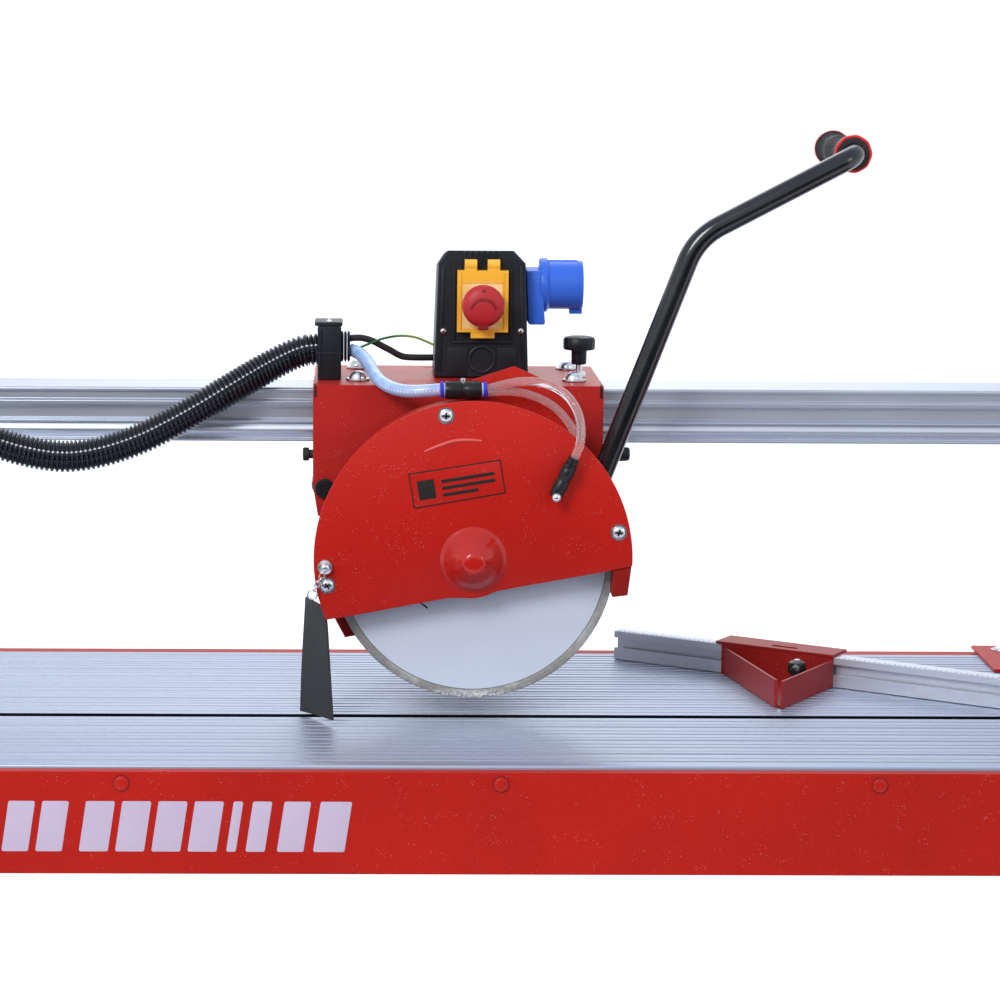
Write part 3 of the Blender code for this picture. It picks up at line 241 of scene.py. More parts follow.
def slab_finish(name):
    """Ribbed table metal: die lines along X, painted shade darkening the grooves and a painted black shadow
    within the slot.
    """
    f = Finish(name, (0.46, 0.510, 0.630), 0.42, 0.85)
    across = f.node("ShaderNodeSeparateXYZ", {}, f.place, output="Y")
    height = f.node("ShaderNodeSeparateXYZ", {}, f.place, output="Z")
    # painted shade: faces below the slab top (the grooves) are darkened
    groove = (height < SLAB_TOP - 0.0008) * 0.45
    off_middle = f.maths("ABSOLUTE", across - SLOT_MIDDLE)
    # painted shadow: the slot's walls below the top are coloured near-black
    slot_painted_shadow = (off_middle < SLOT_HALF + 0.0003) * (height < SLAB_TOP - 0.00015)
    lines = f.noise(1.0, 4.0, (0.6, 900.0, 900.0), 0.7)
    bands = f.noise(1.0, 2.0, (0.4, 90.0, 90.0))
    clouds = f.remap(f.noise(5.0, 4.0), 0.35, 0.70)
    tone = f.mix(f.remap(lines, 0.35, 0.65) * 0.7, f.shade(0.88), f.shade(1.12))
    tone = f.mix(f.remap(bands, 0.40, 0.62) * 0.5, tone, f.shade(0.80))
    tone = f.mix(groove, tone, f.shade(0.45))
    f.feed("Base Color", f.mix(slot_painted_shadow, tone, (0.010, 0.011, 0.016)))
    f.feed("Roughness", 0.42 + 0.20 * (lines - 0.5) + 0.06 * clouds)
    return f.bump(lines, 0.25, 0.0002)


def bright_metal(name, colour, roughness=0.22, scale=220.0):
    """Machined or plated steel with faint turning haze and small stains."""
    f = Finish(name, colour, roughness, 1.0)
    haze = f.noise(scale, 3.0)
    stain = f.remap(f.noise(30.0, 4.0), 0.45, 0.75)
    f.feed("Base Color", f.mix(stain * 0.5, f.shade(1.05), f.shade(0.72)))
    f.feed("Roughness", roughness + 0.16 * haze)
    return f.bump(haze, 0.12, 0.0003)


def moulded(name, colour, roughness=0.45, grain=700.0, depth=0.25, **fixed):
    """Moulded plastic or rubber: fine leathery grain, faint bloom and a dusty film."""
    f = Finish(name, colour, roughness, **{"Specular_IOR_Level": 0.28, **fixed})
    skin = f.noise(grain, 3.0, rough=0.6)
    bloom = f.remap(f.noise(22.0, 4.0), 0.40, 0.75)
    lift = tuple(0.90 * part + 0.012 for part in colour)
    f.feed("Base Color", f.mix(bloom * 0.6, f.shade(0.85), lift))
    f.feed("Roughness", roughness + 0.14 * (skin - 0.5) + 0.06 * bloom)
    return f.bump(skin, depth, 0.0004)


RED = (0.440, 0.0100, 0.0050)
SLAB_TOP = 0.800
SLOT_MIDDLE = -0.0555
SLOT_HALF = 0.0060
finishes = {
    "red_paint": powder_coat("red_powder_coat", RED),
    "red_bright": powder_coat("red_powder_coat_guard", (0.470, 0.0100, 0.0050), 0.34, 0.10),
    "red_panel": powder_coat("red_powder_coat_panel", (0.420, 0.0100, 0.0045), 0.40),
    # the hood's red is a greyer copy of the red paint: painted glare; its lower roughness and stronger coat
    # are real gloss
    "red_glare": powder_coat("red_powder_coat_hood_painted_glare", (0.420, 0.018, 0.015), 0.30, 0.12),
    "black_paint": moulded("gloss_black_paint", (0.010, 0.011, 0.014), 0.20, 260.0, 0.06,
                           Coat_Weight=0.6, Coat_Roughness=0.06),
    "grey_paint": powder_coat("grey_motor_paint", (0.165, 0.172, 0.180), 0.42),
    "aluminium": extruded_metal("beam_aluminium", (0.56, 0.60, 0.68)),
    "slab_metal": slab_finish("slab_aluminium"),
    "fence_metal": extruded_metal("fence_aluminium", (0.66, 0.69, 0.76), 0.44, 0.6),
    "steel": bright_metal("turned_steel", (0.60, 0.61, 0.63)),
    "zinc": bright_metal("bright_zinc", (0.66, 0.67, 0.69), 0.20, 90.0),
    "galvanised": bright_metal("galvanised_sheet", (0.50, 0.52, 0.54), 0.40, 40.0),
    "black_plastic": moulded("black_grained_plastic", (0.009, 0.011, 0.016), 0.42, 900.0, 0.35),
    "black_gloss": moulded("black_smooth_plastic", (0.012, 0.012, 0.014), 0.30, 300.0, 0.08),
    "black_rubber": moulded("black_rubber", (0.018, 0.018, 0.019), 0.62, 500.0, 0.30),
    "yellow_plastic": moulded("yellow_flap_plastic", (0.86, 0.42, 0.035), 0.30, 240.0, 0.05,
                              Coat_Weight=0.3),
    "red_plastic": moulded("red_button_plastic", (0.47, 0.017, 0.022), 0.38, 300.0, 0.06),
    "red_gloss": moulded("red_grip_ring", (0.60, 0.008, 0.012), 0.25, 300.0, 0.05, Coat_Weight=0.4),
    "green_plastic": moulded("green_button_plastic", (0.02, 0.28, 0.06), 0.40, 300.0, 0.06),
    "blue_plastic": moulded("blue_inlet_plastic", (0.038, 0.150, 0.720), 0.40, 500.0, 0.10),
    "blue_gloss": moulded("blue_collet_plastic", (0.020, 0.040, 0.800), 0.30, 300.0, 0.05),
    "white_plastic": moulded("white_seal_ring", (0.72, 0.72, 0.70), 0.40, 300.0, 0.05),
    # near-black for printed lines and ticks, and for bars that stand for the shade within slots, vents and
    # recesses (painted shade)
    "dark_line": moulded("black_print_and_painted_shade", (0.010, 0.008, 0.008), 0.70, 300.0, 0.10),
    "pale_print": moulded("pale_panel_print", (0.56, 0.46, 0.60), 0.50, 500.0, 0.05),
}


def clear_tube(name, colour):
    """Soft clear tube: a thin see-through wall with faint cloudy streaks."""
    f = Finish(name, colour, 0.10, Transmission_Weight=0.85, IOR=1.22)
    streaks = f.remap(f.noise(160.0, 3.0), 0.35, 0.70)
    f.feed("Base Color", f.mix(streaks, f.shade(0.94), f.shade(1.06)))
    f.feed("Roughness", 0.06 + 0.10 * streaks)
    return f.bump(f.noise(300.0), 0.08, 0.0003)


def saw_core(name):
    """Pale blue-grey blade core: round grinding lines about the hub, a brighter brushed sector."""
    f = Finish(name, (0.680, 0.725, 0.830), 0.38, 0.20)
    about = f.stretched((1.0, 1.0, 1.0), (-HUB[0], -HUB[1], -HUB[2]))
    radius = f.node("ShaderNodeVectorMath", {"operation": "LENGTH"}, about, output="Value")
    rings = f.node("ShaderNodeTexNoise", {"noise_dimensions": "1D"}, W=radius, Scale=900.0, Detail=2.0)
    fine = f.noise(1500.0, 2.0)
    clouds = f.remap(f.noise(14.0, 3.0), 0.35, 0.70)
    tone = f.mix(f.remap(rings, 0.3, 0.7) * 0.25, f.shade(0.96), f.shade(1.05))
    tone = f.mix(clouds * 0.4, tone, (0.70, 0.735, 0.815))
    f.feed("Base Color", f.mix(f.remap(fine, 0.55, 0.75) * 0.20, tone, f.shade(0.80)))
    f.feed("Roughness", 0.30 + 0.16 * rings + 0.05 * clouds)
    return f.bump(rings, 0.10, 0.0002)


def diamond_rim(name):
    """The cutting rim: sandy grey bond with coarse diamond grit, worn bright patches, and a painted highlight
    whitening its lowest stretch.
    """
    f = Finish(name, (0.300, 0.285, 0.270), 0.55, 0.55)
    grit = f.noise(1100.0, 3.0, rough=0.7)
    worn = f.remap(f.noise(45.0, 3.0), 0.50, 0.66)
    height = f.node("ShaderNodeSeparateXYZ", {}, f.place, output="Z")
    # painted highlight: the rim's lowest stretch, broken up by noise, is mixed towards near-white
    foot = f.remap(height, 0.8260, 0.8195) * f.remap(f.noise(500.0, 2.0), 0.35, 0.60)
    tone = f.mix(f.remap(grit, 0.35, 0.65), f.shade(0.72), f.shade(1.25))
    tone = f.mix(worn * 0.6, tone, (0.58, 0.575, 0.56))
    f.feed("Base Color", f.mix(foot * 0.8, tone, (0.90, 0.90, 0.88)))
    f.feed("Roughness", 0.42 + 0.25 * grit)
    return f.bump(grit, 0.45, 0.0005)


def flap_finish(name):
    """Amber flap plastic whose flat middle carries a broken pale painted highlight."""
    f = moulded(name, (0.86, 0.42, 0.035), 0.30, 240.0, 0.05, Coat_Weight=0.3)
    side = f.node("ShaderNodeSeparateXYZ", {}, f.place, output="X")
    height = f.node("ShaderNodeSeparateXYZ", {}, f.place, output="Z")
    # painted highlight: the flap's flat middle, broken up by noise, is mixed towards pale amber
    inner = f.remap(f.maths("ABSOLUTE", side - 0.1512), 0.0185, 0.0175)
    inner = inner * f.remap(f.maths("ABSOLUTE", height - 1.1570), 0.0220, 0.0190)
    cloud = f.remap(f.noise(55.0, 4.0), 0.36, 0.60)
    f.feed("Base Color", f.mix(inner * (0.20 + 0.55 * cloud), (0.86, 0.42, 0.035), (0.93, 0.74, 0.44)))
    return f


HUB = (0.1418, -0.0555, 0.9424)
finishes["clear_hose"] = clear_tube("clear_water_tube", (0.90, 0.80, 0.80))
finishes["saw_core"] = saw_core("saw_blade_core")
finishes["diamond_rim"] = diamond_rim("saw_blade_rim")
finishes["flap_yellow"] = flap_finish("yellow_flap_field")
finishes["red_boss"] = powder_coat("red_gloss_boss", (0.460, 0.0110, 0.0060), 0.22, 0.60)
finishes["red_boss"].set("Coat Roughness", 0.10)
# the pressed arc's paler red: a painted highlight along its raised crease
finishes["red_press"] = powder_coat("pressed_arc_painted_highlight", (0.640, 0.100, 0.080), 0.30, 0.20)
finishes["red_tab"] = powder_coat("red_powder_coat_shaded", (0.270, 0.0090, 0.0060), 0.36)
finishes["red_dark"] = moulded("red_button_shade", (0.240, 0.008, 0.010), 0.45, 300.0, 0.06)
finishes["flap_rubber"] = moulded("splash_flap_rubber", (0.030, 0.030, 0.032), 0.60, 300.0, 0.30)
finishes["handle_paint"] = moulded("handle_black_enamel", (0.004, 0.005, 0.008), 0.22, 200.0, 0.05,
                                   Coat_Weight=0.5, Coat_Roughness=0.12)
finishes["rim_line"] = bright_metal("rim_seam", (0.20, 0.195, 0.19), 0.40)
# a darker copy of the red paint for the fence bracket: painted shade
finishes["red_bracket"] = powder_coat("red_bracket_painted_shade", (0.300, 0.015, 0.013), 0.34, 0.12)


# ---------------------------------------------------------------- grids and profiles
def grid(points, wrap_rows=False, caps=True):
    """Quads over rows of closed rings: row i, column j joins i+1 and j+1, columns wrapping round."""
    points = np.asarray(points, float)
    rows, columns = points.shape[:2]
    index = np.arange(rows * columns).reshape(rows, columns)
    ahead = np.roll(index, -1, axis=1)
    if wrap_rows:
        low, high, low_ahead, high_ahead = index, np.roll(index, -1, 0), ahead, np.roll(ahead, -1, 0)
    else:
        low, high, low_ahead, high_ahead = index[:-1], index[1:], ahead[:-1], ahead[1:]
    faces = np.stack([low, low_ahead, high_ahead, high], axis=-1).reshape(-1, 4).tolist()
    if caps and not wrap_rows:
        faces += [index[0, ::-1].tolist(), index[-1].tolist()]
    return points.reshape(-1, 3), faces


def gather(*shapes):
    """Several shapes as one: their points in a row, their faces counted on."""
    points, faces, count = [], [], 0
    for shape_points, shape_faces in shapes:
        points.append(shape_points)
        faces += [[corner + count for corner in face] for face in shape_faces]
        count += len(shape_points)
    return np.concatenate(points), faces


def turned(profile, centre, axis="Z", steps=48, closed=False, lobes=0, depth=0.0):
    """Revolve (radius, height) points: radius turns about the axis, height runs along it.

    With lobes, each radius is widened by depth times the cosine of lobes times the angle.
    """
    profile = np.asarray(profile, float)
    angle = np.linspace(0.0, 2 * pi, steps, endpoint=False)
    radius = profile[:, :1] * (1.0 + depth * np.cos(lobes * angle))
    height = np.repeat(profile[:, 1:], steps, axis=1)
    across, up = radius * np.cos(angle), radius * np.sin(angle)
    order = {"X": (height, across, up), "Y": (across, height, up), "Z": (across, up, height)}[axis]
    return grid(np.stack(order, axis=-1) + np.asarray(centre, float), closed)


def arc(centre, radius, start, end, count):
    """Points on a circle's arc, angles in degrees from the first axis to the second."""
    angle = np.radians(np.linspace(start, end, count + 1))
    return np.stack([centre[0] + radius * np.cos(angle), centre[1] + radius * np.sin(angle)], axis=-1)


def dome(radius, height, base, direction=1.0, count=8):
    """A screw head's profile: a flat ellipse quarter above a short skirt, down to the seat."""
    angle = np.linspace(pi / 2, 0.0, count)
    cap = np.stack([radius * np.cos(angle), base + direction * height * (0.25 + 0.75 * np.sin(angle))], -1)
    cap[0, 0] = 0.0
    return np.concatenate([cap, [[radius, base]], [[0.0, base]]])


def rounded_outline(corners, radius, steps=5):
    """A polygon whose corners are replaced by arcs that touch both sides."""
    corners = np.asarray(corners, float)
    before, after = np.roll(corners, 1, 0) - corners, np.roll(corners, -1, 0) - corners
    before /= np.linalg.norm(before, axis=1)[:, None]
    after /= np.linalg.norm(after, axis=1)[:, None]
    half = np.arccos(np.clip((before * after).sum(1), -1, 1)) / 2
    middle = before + after
    middle /= np.linalg.norm(middle, axis=1)[:, None]
    centre = corners + middle * (radius / np.sin(half))[:, None]
    share = np.linspace(0.0, 1.0, steps + 1)
    start = corners + before * (radius / np.tan(half))[:, None] - centre
    end = corners + after * (radius / np.tan(half))[:, None] - centre
    bend = start[:, None] * (1 - share)[:, None] + end[:, None] * share[:, None]
    bend *= radius / np.linalg.norm(bend, axis=2)[..., None]
    return (centre[:, None] + bend).reshape(-1, 2)


def inset(outline, amount):
    """Move every corner inwards by the same distance from both its sides."""
    outline = np.asarray(outline, float)
    along = np.roll(outline, -1, 0) - outline
    along /= np.linalg.norm(along, axis=1)[:, None]
    area = (outline[:, 0] * np.roll(outline[:, 1], -1) - np.roll(outline[:, 0], -1) * outline[:, 1]).sum()
    turn = 1.0 if area > 0 else -1.0
    inward = turn * np.stack([-along[:, 1], along[:, 0]], -1)
    back = np.roll(inward, 1, 0)
    share = 1.0 + (inward * back).sum(1)
    return outline + amount * (inward + back) / np.maximum(share, 0.2)[:, None]


def slab(outline, plane, low, high, edge=0.0006):
    """A flat outline given thickness, its rims eased by a quarter-round of the edge's size."""
    rings = []
    for depth, lift in ((1.0, 0.0), (0.29, 0.29), (0.0, 1.0)):
        rings.append((inset(outline, edge * depth), low + edge * lift))
    for depth, lift in ((0.0, 1.0), (0.29, 0.29), (1.0, 0.0)):
        rings.append((inset(outline, edge * depth), high - edge * lift))
    rows = []
    for ring, level in rings:
        level = np.full(len(ring), level)
        order = {"XZ": (ring[:, 0], level, ring[:, 1]), "YZ": (level, ring[:, 0], ring[:, 1]),
                 "XY": (ring[:, 0], ring[:, 1], level)}[plane]
        rows.append(np.stack(order, -1))
    return grid(rows)


def block(low, high, edge=0.0008, plane="XZ", corner=None):
    """A rectangular block with rounded upright edges and eased rims."""
    pick = {"XZ": (0, 2, 1), "YZ": (1, 2, 0), "XY": (0, 1, 2)}[plane]
    (a0, b0, c0), (a1, b1, c1) = [low[i] for i in pick], [high[i] for i in pick]
    outline = rounded_outline([(a0, b0), (a1, b0), (a1, b1), (a0, b1)], corner or edge * 1.5)
    return slab(outline, plane, c0, c1, edge)


def resampled(route, spacing=None, stations=None):
    """The smooth curve through a route's points (Catmull-Rom), at even steps or at given lengths."""
    points = np.asarray(route, float)
    ends = np.concatenate([[2 * points[0] - points[1]], points, [2 * points[-1] - points[-2]]])
    t = np.linspace(0.0, 1.0, 20, endpoint=False)[None, :, None]
    p0, p1, p2, p3 = ends[:-3, None], ends[1:-2, None], ends[2:-1, None], ends[3:, None]
    dense = 0.5 * (2 * p1 + (p2 - p0) * t + (2 * p0 - 5 * p1 + 4 * p2 - p3) * t ** 2
                   + (3 * p1 - p0 - 3 * p2 + p3) * t ** 3)
    dense = np.concatenate([dense.reshape(-1, 3), points[-1:]])
    walked = np.concatenate([[0.0], np.cumsum(np.linalg.norm(np.diff(dense, axis=0), axis=1))])
    if stations is None:
        stations = np.linspace(0.0, walked[-1], max(2, round(walked[-1] / spacing)) + 1)
    else:
        stations = stations[stations <= walked[-1]]
    return np.stack([np.interp(stations, walked, dense[:, i]) for i in range(3)], -1)


def swept(path, radius, sides=24, start=(0.0, -1.0, 0.0)):
    """A round section carried along a path, its frame turned as little as the path allows."""
    path = np.asarray(path, float)
    tangent = np.gradient(path, axis=0)
    tangent /= np.linalg.norm(tangent, axis=1)[:, None]
    normal = np.zeros_like(path)
    carried = np.asarray(start, float)
    for i, ahead in enumerate(tangent):
        carried = carried - ahead * (carried @ ahead)
        carried /= np.linalg.norm(carried)
        normal[i] = carried
    side = np.cross(tangent, normal)
    angle = np.linspace(0.0, 2 * pi, sides, endpoint=False)[None, :, None]
    radius = np.broadcast_to(np.asarray(radius, float), len(path))[:, None, None]
    return grid(path[:, None] + radius * (normal[:, None] * np.cos(angle) + side[:, None] * np.sin(angle)))


def softened(points, radius, count=8):
    """A bent rod's centre line: straight runs joined by arcs of one radius."""
    points = [Vector(point) for point in points]
    path = [points[0]]
    for before, corner, after in zip(points, points[1:], points[2:]):
        inward, outward = (before - corner).normalized(), (after - corner).normalized()
        half = inward.angle(outward) / 2
        start = corner + inward * (radius * cos(half) / sin(half))
        end = corner + outward * (radius * cos(half) / sin(half))
        centre = corner + (inward + outward).normalized() * (radius / sin(half))
        for i in range(count + 1):
            path.append(centre + (start - centre).slerp(end - centre, i / count).normalized() * radius)
    path.append(points[-1])
    return [tuple(point) for point in path]


def hoop(loop, normal, wire, sides=10):
    """A round wire along a flat closed loop: out of the loop by cosine, along its normal by sine."""
    loop, normal = np.asarray(loop, float), np.asarray(normal, float)
    tangent = np.roll(loop, -1, 0) - np.roll(loop, 1, 0)
    tangent /= np.linalg.norm(tangent, axis=1)[:, None]
    outward = np.cross(tangent, normal)
    angle = np.linspace(0.0, 2 * pi, sides, endpoint=False)[None, :, None]
    return grid(loop[:, None] + wire * (outward[:, None] * np.cos(angle) + normal * np.sin(angle)), True)


# ---------------------------------------------------------------- placing pieces
def rest(mesh, name, finish, body, stands_for, angle):
    """Link a mesh as a piece: closed, faces outwards, finished and riding on its body."""
    bm = bmesh.new()
    bm.from_mesh(mesh)
    bmesh.ops.remove_doubles(bm, verts=bm.verts, dist=0.0000012)
    bmesh.ops.recalc_face_normals(bm, faces=bm.faces)
    bm.to_mesh(mesh)
    bm.free()
    mesh.materials.clear()
    mesh.materials.append(finishes[finish].material)
    mesh.shade_smooth()
    mesh.set_sharp_from_angle(angle=radians(angle))
    obj = bpy.data.objects.new(name, mesh)
    bpy.context.scene.collection.objects.link(obj)
    if body:
        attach(obj, body)
    for node in stands_for:
        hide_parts(node)
    return obj


def piece(name, shape, finish, body, stands_for=(), angle=38):
    """Put a worked-out shape into a mesh and rest it on a body."""
    points, faces = shape
    mesh = bpy.data.meshes.new(name)
    mesh.from_pydata(points.tolist(), [], faces)
    return rest(mesh, name, finish, body, stands_for, angle)


def eased(node, finish, width=0.0007, segments=2):
    """A sheet-metal node with its edges rounded: a merged copy of its mesh under a Bevel."""
    body = NODES[node]["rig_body"]
    mesh = NODES[node].data.copy()
    bm = bmesh.new()
    bm.from_mesh(mesh)
    bmesh.ops.remove_doubles(bm, verts=bm.verts, dist=0.00001)
    bmesh.ops.dissolve_limit(bm, angle_limit=radians(1.0), verts=bm.verts, edges=bm.edges)
    bm.to_mesh(mesh)
    bm.free()
    mesh.materials.clear()
    mesh.materials.append(finishes[finish].material)
    mesh.shade_smooth()
    mesh.set_sharp_from_angle(angle=radians(40))
    obj = bpy.data.objects.new(node + "_skin", mesh)
    bpy.context.scene.collection.objects.link(obj)
    if width:
        bevel = obj.modifiers.new("eased_edges", "BEVEL")
        bevel.width = width
        bevel.segments = segments
        bevel.limit_method = "ANGLE"
        bevel.angle_limit = radians(40)
    flat = obj.modifiers.new("flat_faces", "WEIGHTED_NORMAL")
    flat.weight = 80
    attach(obj, body)
    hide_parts(node)
    return obj


def cross_head(x, y, z, radius, turn=0.6):
    """A pan head that looks at the operator, and the two dark bars of its cross, which are painted shade
    standing in for the recessed slots.
    """
    head = turned(dome(radius, 0.0034, y, -1.0), (x, 0.0, z), "Y", 32)
    slots = []
    for angle in (turn, turn + pi / 2):
        ahead, side = np.array((cos(angle), sin(angle))), np.array((-sin(angle), cos(angle)))
        long, wide = radius * 0.52, radius * 0.13
        corners = np.array([ahead * long + side * wide, -ahead * long + side * wide,
                            -ahead * long - side * wide, ahead * long - side * wide]) + (x, z)
        slots.append(slab(corners, "XZ", y - 0.0036, y - 0.0024, 0.0001))
    return head, gather(*slots)


# ---------------------------------------------------------------- floor and light
def make_stage():
    """A wide pale floor under an even white studio, with soft lights above and to the front."""
    half = 30.0
    mesh = bpy.data.meshes.new("floor")
    corners = [(-half, -half, 0.0), (half, -half, 0.0), (half, half, 0.0), (-half, half, 0.0)]
    mesh.from_pydata(corners, [], [(0, 1, 2, 3)])
    floor = bpy.data.objects.new("floor", mesh)
    bpy.context.scene.collection.objects.link(floor)
    pale = Finish("studio_floor", (0.93, 0.93, 0.93), 0.8)
    pale.feed("Base Color", pale.mix(pale.noise(2.0), (0.925, 0.925, 0.925), (0.935, 0.935, 0.935)))
    pale.set("Specular IOR Level", 0.0)
    pale.set("Emission Color", (1.0, 1.0, 1.0, 1.0))
    pale.set("Emission Strength", 0.42)
    mesh.materials.append(pale.material)
    world = bpy.data.worlds.new("studio")
    world.use_nodes = True
    tree = world.node_tree
    ramp = tree.nodes.new("ShaderNodeValToRGB")
    ramp.color_ramp.elements[0].position = 0.10
    ramp.color_ramp.elements[0].color = (1.0, 1.0, 1.0, 1.0)
    ramp.color_ramp.elements[1].position = 0.75
    ramp.color_ramp.elements[1].color = (0.76, 0.85, 1.0, 1.0)
    ways = tree.nodes.new("ShaderNodeSeparateXYZ")
    tree.links.new(tree.nodes.new("ShaderNodeTexCoord").outputs["Generated"], ways.inputs[0])
    tree.links.new(ways.outputs["Z"], ramp.inputs[0])
    tree.links.new(ramp.outputs[0], tree.nodes["Background"].inputs["Color"])
    tree.nodes["Background"].inputs["Strength"].default_value = 1.0
    bpy.context.scene.world = world
    mesh = bpy.data.meshes.new("flag")
    corners = [(-2.6, -1.9, 0.05), (2.6, -1.9, 0.05), (2.6, -1.9, 1.20), (-2.6, -1.9, 1.20)]
    mesh.from_pydata(corners, [], [(0, 1, 2, 3)])
    flag = bpy.data.objects.new("flag", mesh)
    bpy.context.scene.collection.objects.link(flag)
    mesh.materials.append(Finish("dark_flag", (0.030, 0.032, 0.040), 0.9).material)
    flag.visible_camera = False
    lamps = (((-1.3, -2.4, 2.8), 1.2, 62.0), ((2.2, -1.8, 2.0), 0.8, 8.0), ((0.2, 1.8, 2.6), 2.0, 16.0))
    for i, (place, size, power) in enumerate(lamps):
        data = bpy.data.lights.new("soft_%d" % i, "AREA")
        data.shape = "DISK"
        data.size = size
        data.energy = power
        lamp = bpy.data.objects.new("soft_%d" % i, data)
        lamp.location = place
        lamp.rotation_euler = (Vector((0.1, 0.0, 0.9)) - Vector(place)).to_track_quat("-Z", "Y").to_euler()
        bpy.context.scene.collection.objects.link(lamp)
    bpy.context.scene.view_settings.view_transform = "Standard"


make_stage()


# ---------------------------------------------------------------- cords
CONDUIT_RADIUS = 0.01425
CONDUIT_ROUTE = [
    (0.0036, 0.0467, 1.1163), (-0.0024, 0.0466, 1.1158), (-0.0100, 0.0462, 1.1146), (-0.0240, 0.0446, 1.1092),
    (-0.0462, 0.0390, 1.0980), (-0.0756, 0.0270, 1.0817), (-0.1023, 0.0190, 1.0661),
    (-0.1307, 0.0130, 1.0506), (-0.1582, 0.0080, 1.0377), (-0.1910, 0.0030, 1.0274),
    (-0.2238, 0.0000, 1.0236), (-0.2611, -0.0010, 1.0294), (-0.2980, -0.0010, 1.0420),
    (-0.3500, 0.0000, 1.0630), (-0.4200, 0.0030, 1.0950), (-0.5000, 0.0080, 1.1330),
    (-0.5800, 0.0150, 1.1700), (-0.6600, 0.0230, 1.2030), (-0.7300, 0.0300, 1.2250),
    (-0.7750, 0.0345, 1.2335), (-0.7920, 0.0360, 1.2350), (-0.8020, 0.0360, 1.2350),
]
LOWER_CONDUIT_ROUTE = [
    (-0.8060, 0.0360, 1.2350), (-0.8180, 0.0360, 1.2350), (-0.8480, 0.0365, 1.2311),
    (-0.8770, 0.0375, 1.2192), (-0.9015, 0.0390, 1.2005), (-0.9205, 0.0410, 1.1755),
    (-0.9325, 0.0435, 1.1460), (-0.9385, 0.0470, 1.1100), (-0.9440, 0.0530, 1.0500),
    (-0.9510, 0.0610, 0.9700), (-0.9560, 0.0680, 0.9100), (-0.9580, 0.0725, 0.8710),
    (-0.9540, 0.0755, 0.8405), (-0.9422, 0.0780, 0.8120), (-0.9234, 0.0793, 0.7876),
    (-0.8990, 0.0800, 0.7688), (-0.8705, 0.0800, 0.7570), (-0.8400, 0.0800, 0.7530),
    (-0.8274, 0.0800, 0.7530),
]
BLUE_HOSE_ROUTE = [
    (0.0336, 0.0450, 1.1158), (0.0369, 0.0422, 1.1149), (0.0401, 0.0386, 1.1136),
    (0.0434, 0.0337, 1.1116), (0.0470, 0.0262, 1.1084), (0.0501, 0.0170, 1.1048),
    (0.0528, 0.0070, 1.1012), (0.0556, -0.0040, 1.0976), (0.0597, -0.0145, 1.0943),
    (0.0655, -0.0238, 1.0915), (0.0728, -0.0318, 1.0895), (0.0812, -0.0380, 1.0886),
    (0.0905, -0.0422, 1.0888), (0.1000, -0.0444, 1.0896), (0.1060, -0.0450, 1.0902),
    (0.1118, -0.0452, 1.0906),
]
TUBE_FRONT_ROUTE = [
    (0.1539, -0.0450, 1.0920), (0.1628, -0.0481, 1.0948), (0.1717, -0.0520, 1.0975),
    (0.1820, -0.0570, 1.0997), (0.1923, -0.0625, 1.1004), (0.2015, -0.0675, 1.0997),
    (0.2096, -0.0725, 1.0972), (0.2165, -0.0770, 1.0935), (0.2225, -0.0810, 1.0885),
    (0.2270, -0.0850, 1.0825), (0.2305, -0.0880, 1.0750), (0.2325, -0.0905, 1.0660),
    (0.2328, -0.0920, 1.0570), (0.2315, -0.0925, 1.0480), (0.2290, -0.0920, 1.0410),
    (0.2270, -0.0915, 1.0365),
]
TUBE_REAR_ROUTE = [
    (0.1535, -0.0460, 1.0885), (0.1600, -0.0460, 1.0890), (0.1667, -0.0462, 1.0896),
    (0.1750, -0.0462, 1.0895), (0.1827, -0.0462, 1.0886), (0.1910, -0.0462, 1.0866),
    (0.1986, -0.0462, 1.0838), (0.2055, -0.0462, 1.0803), (0.2116, -0.0462, 1.0764),
    (0.2172, -0.0462, 1.0715), (0.2224, -0.0462, 1.0657), (0.2264, -0.0462, 1.0603),
    (0.2296, -0.0460, 1.0545), (0.2318, -0.0450, 1.0478), (0.2325, -0.0435, 1.0410),
]
MOTOR_CABLE_ROUTE = [
    (0.0320, 0.0466, 1.1262), (0.0375, 0.0469, 1.1267), (0.0445, 0.0480, 1.1262),
    (0.0525, 0.0502, 1.1236), (0.0610, 0.0545, 1.1188), (0.0686, 0.0585, 1.1145),
    (0.0755, 0.0620, 1.1102), (0.0824, 0.0645, 1.1076), (0.0962, 0.0680, 1.1067),
    (0.1080, 0.0700, 1.1066),
]
EARTH_WIRE_ROUTE = [
    (0.0320, 0.0450, 1.1150), (0.0360, 0.0450, 1.1158), (0.0422, 0.0450, 1.1185),
    (0.0485, 0.0460, 1.1210), (0.0549, 0.0480, 1.1234), (0.0617, 0.0513, 1.1255),
    (0.0685, 0.0550, 1.1267), (0.0740, 0.0575, 1.1273), (0.0795, 0.0600, 1.1274),
    (0.0855, 0.0630, 1.1268), (0.0914, 0.0660, 1.1255), (0.0961, 0.0682, 1.1238),
    (0.1007, 0.0700, 1.1217), (0.1050, 0.0712, 1.1197), (0.1095, 0.0720, 1.1176),
]


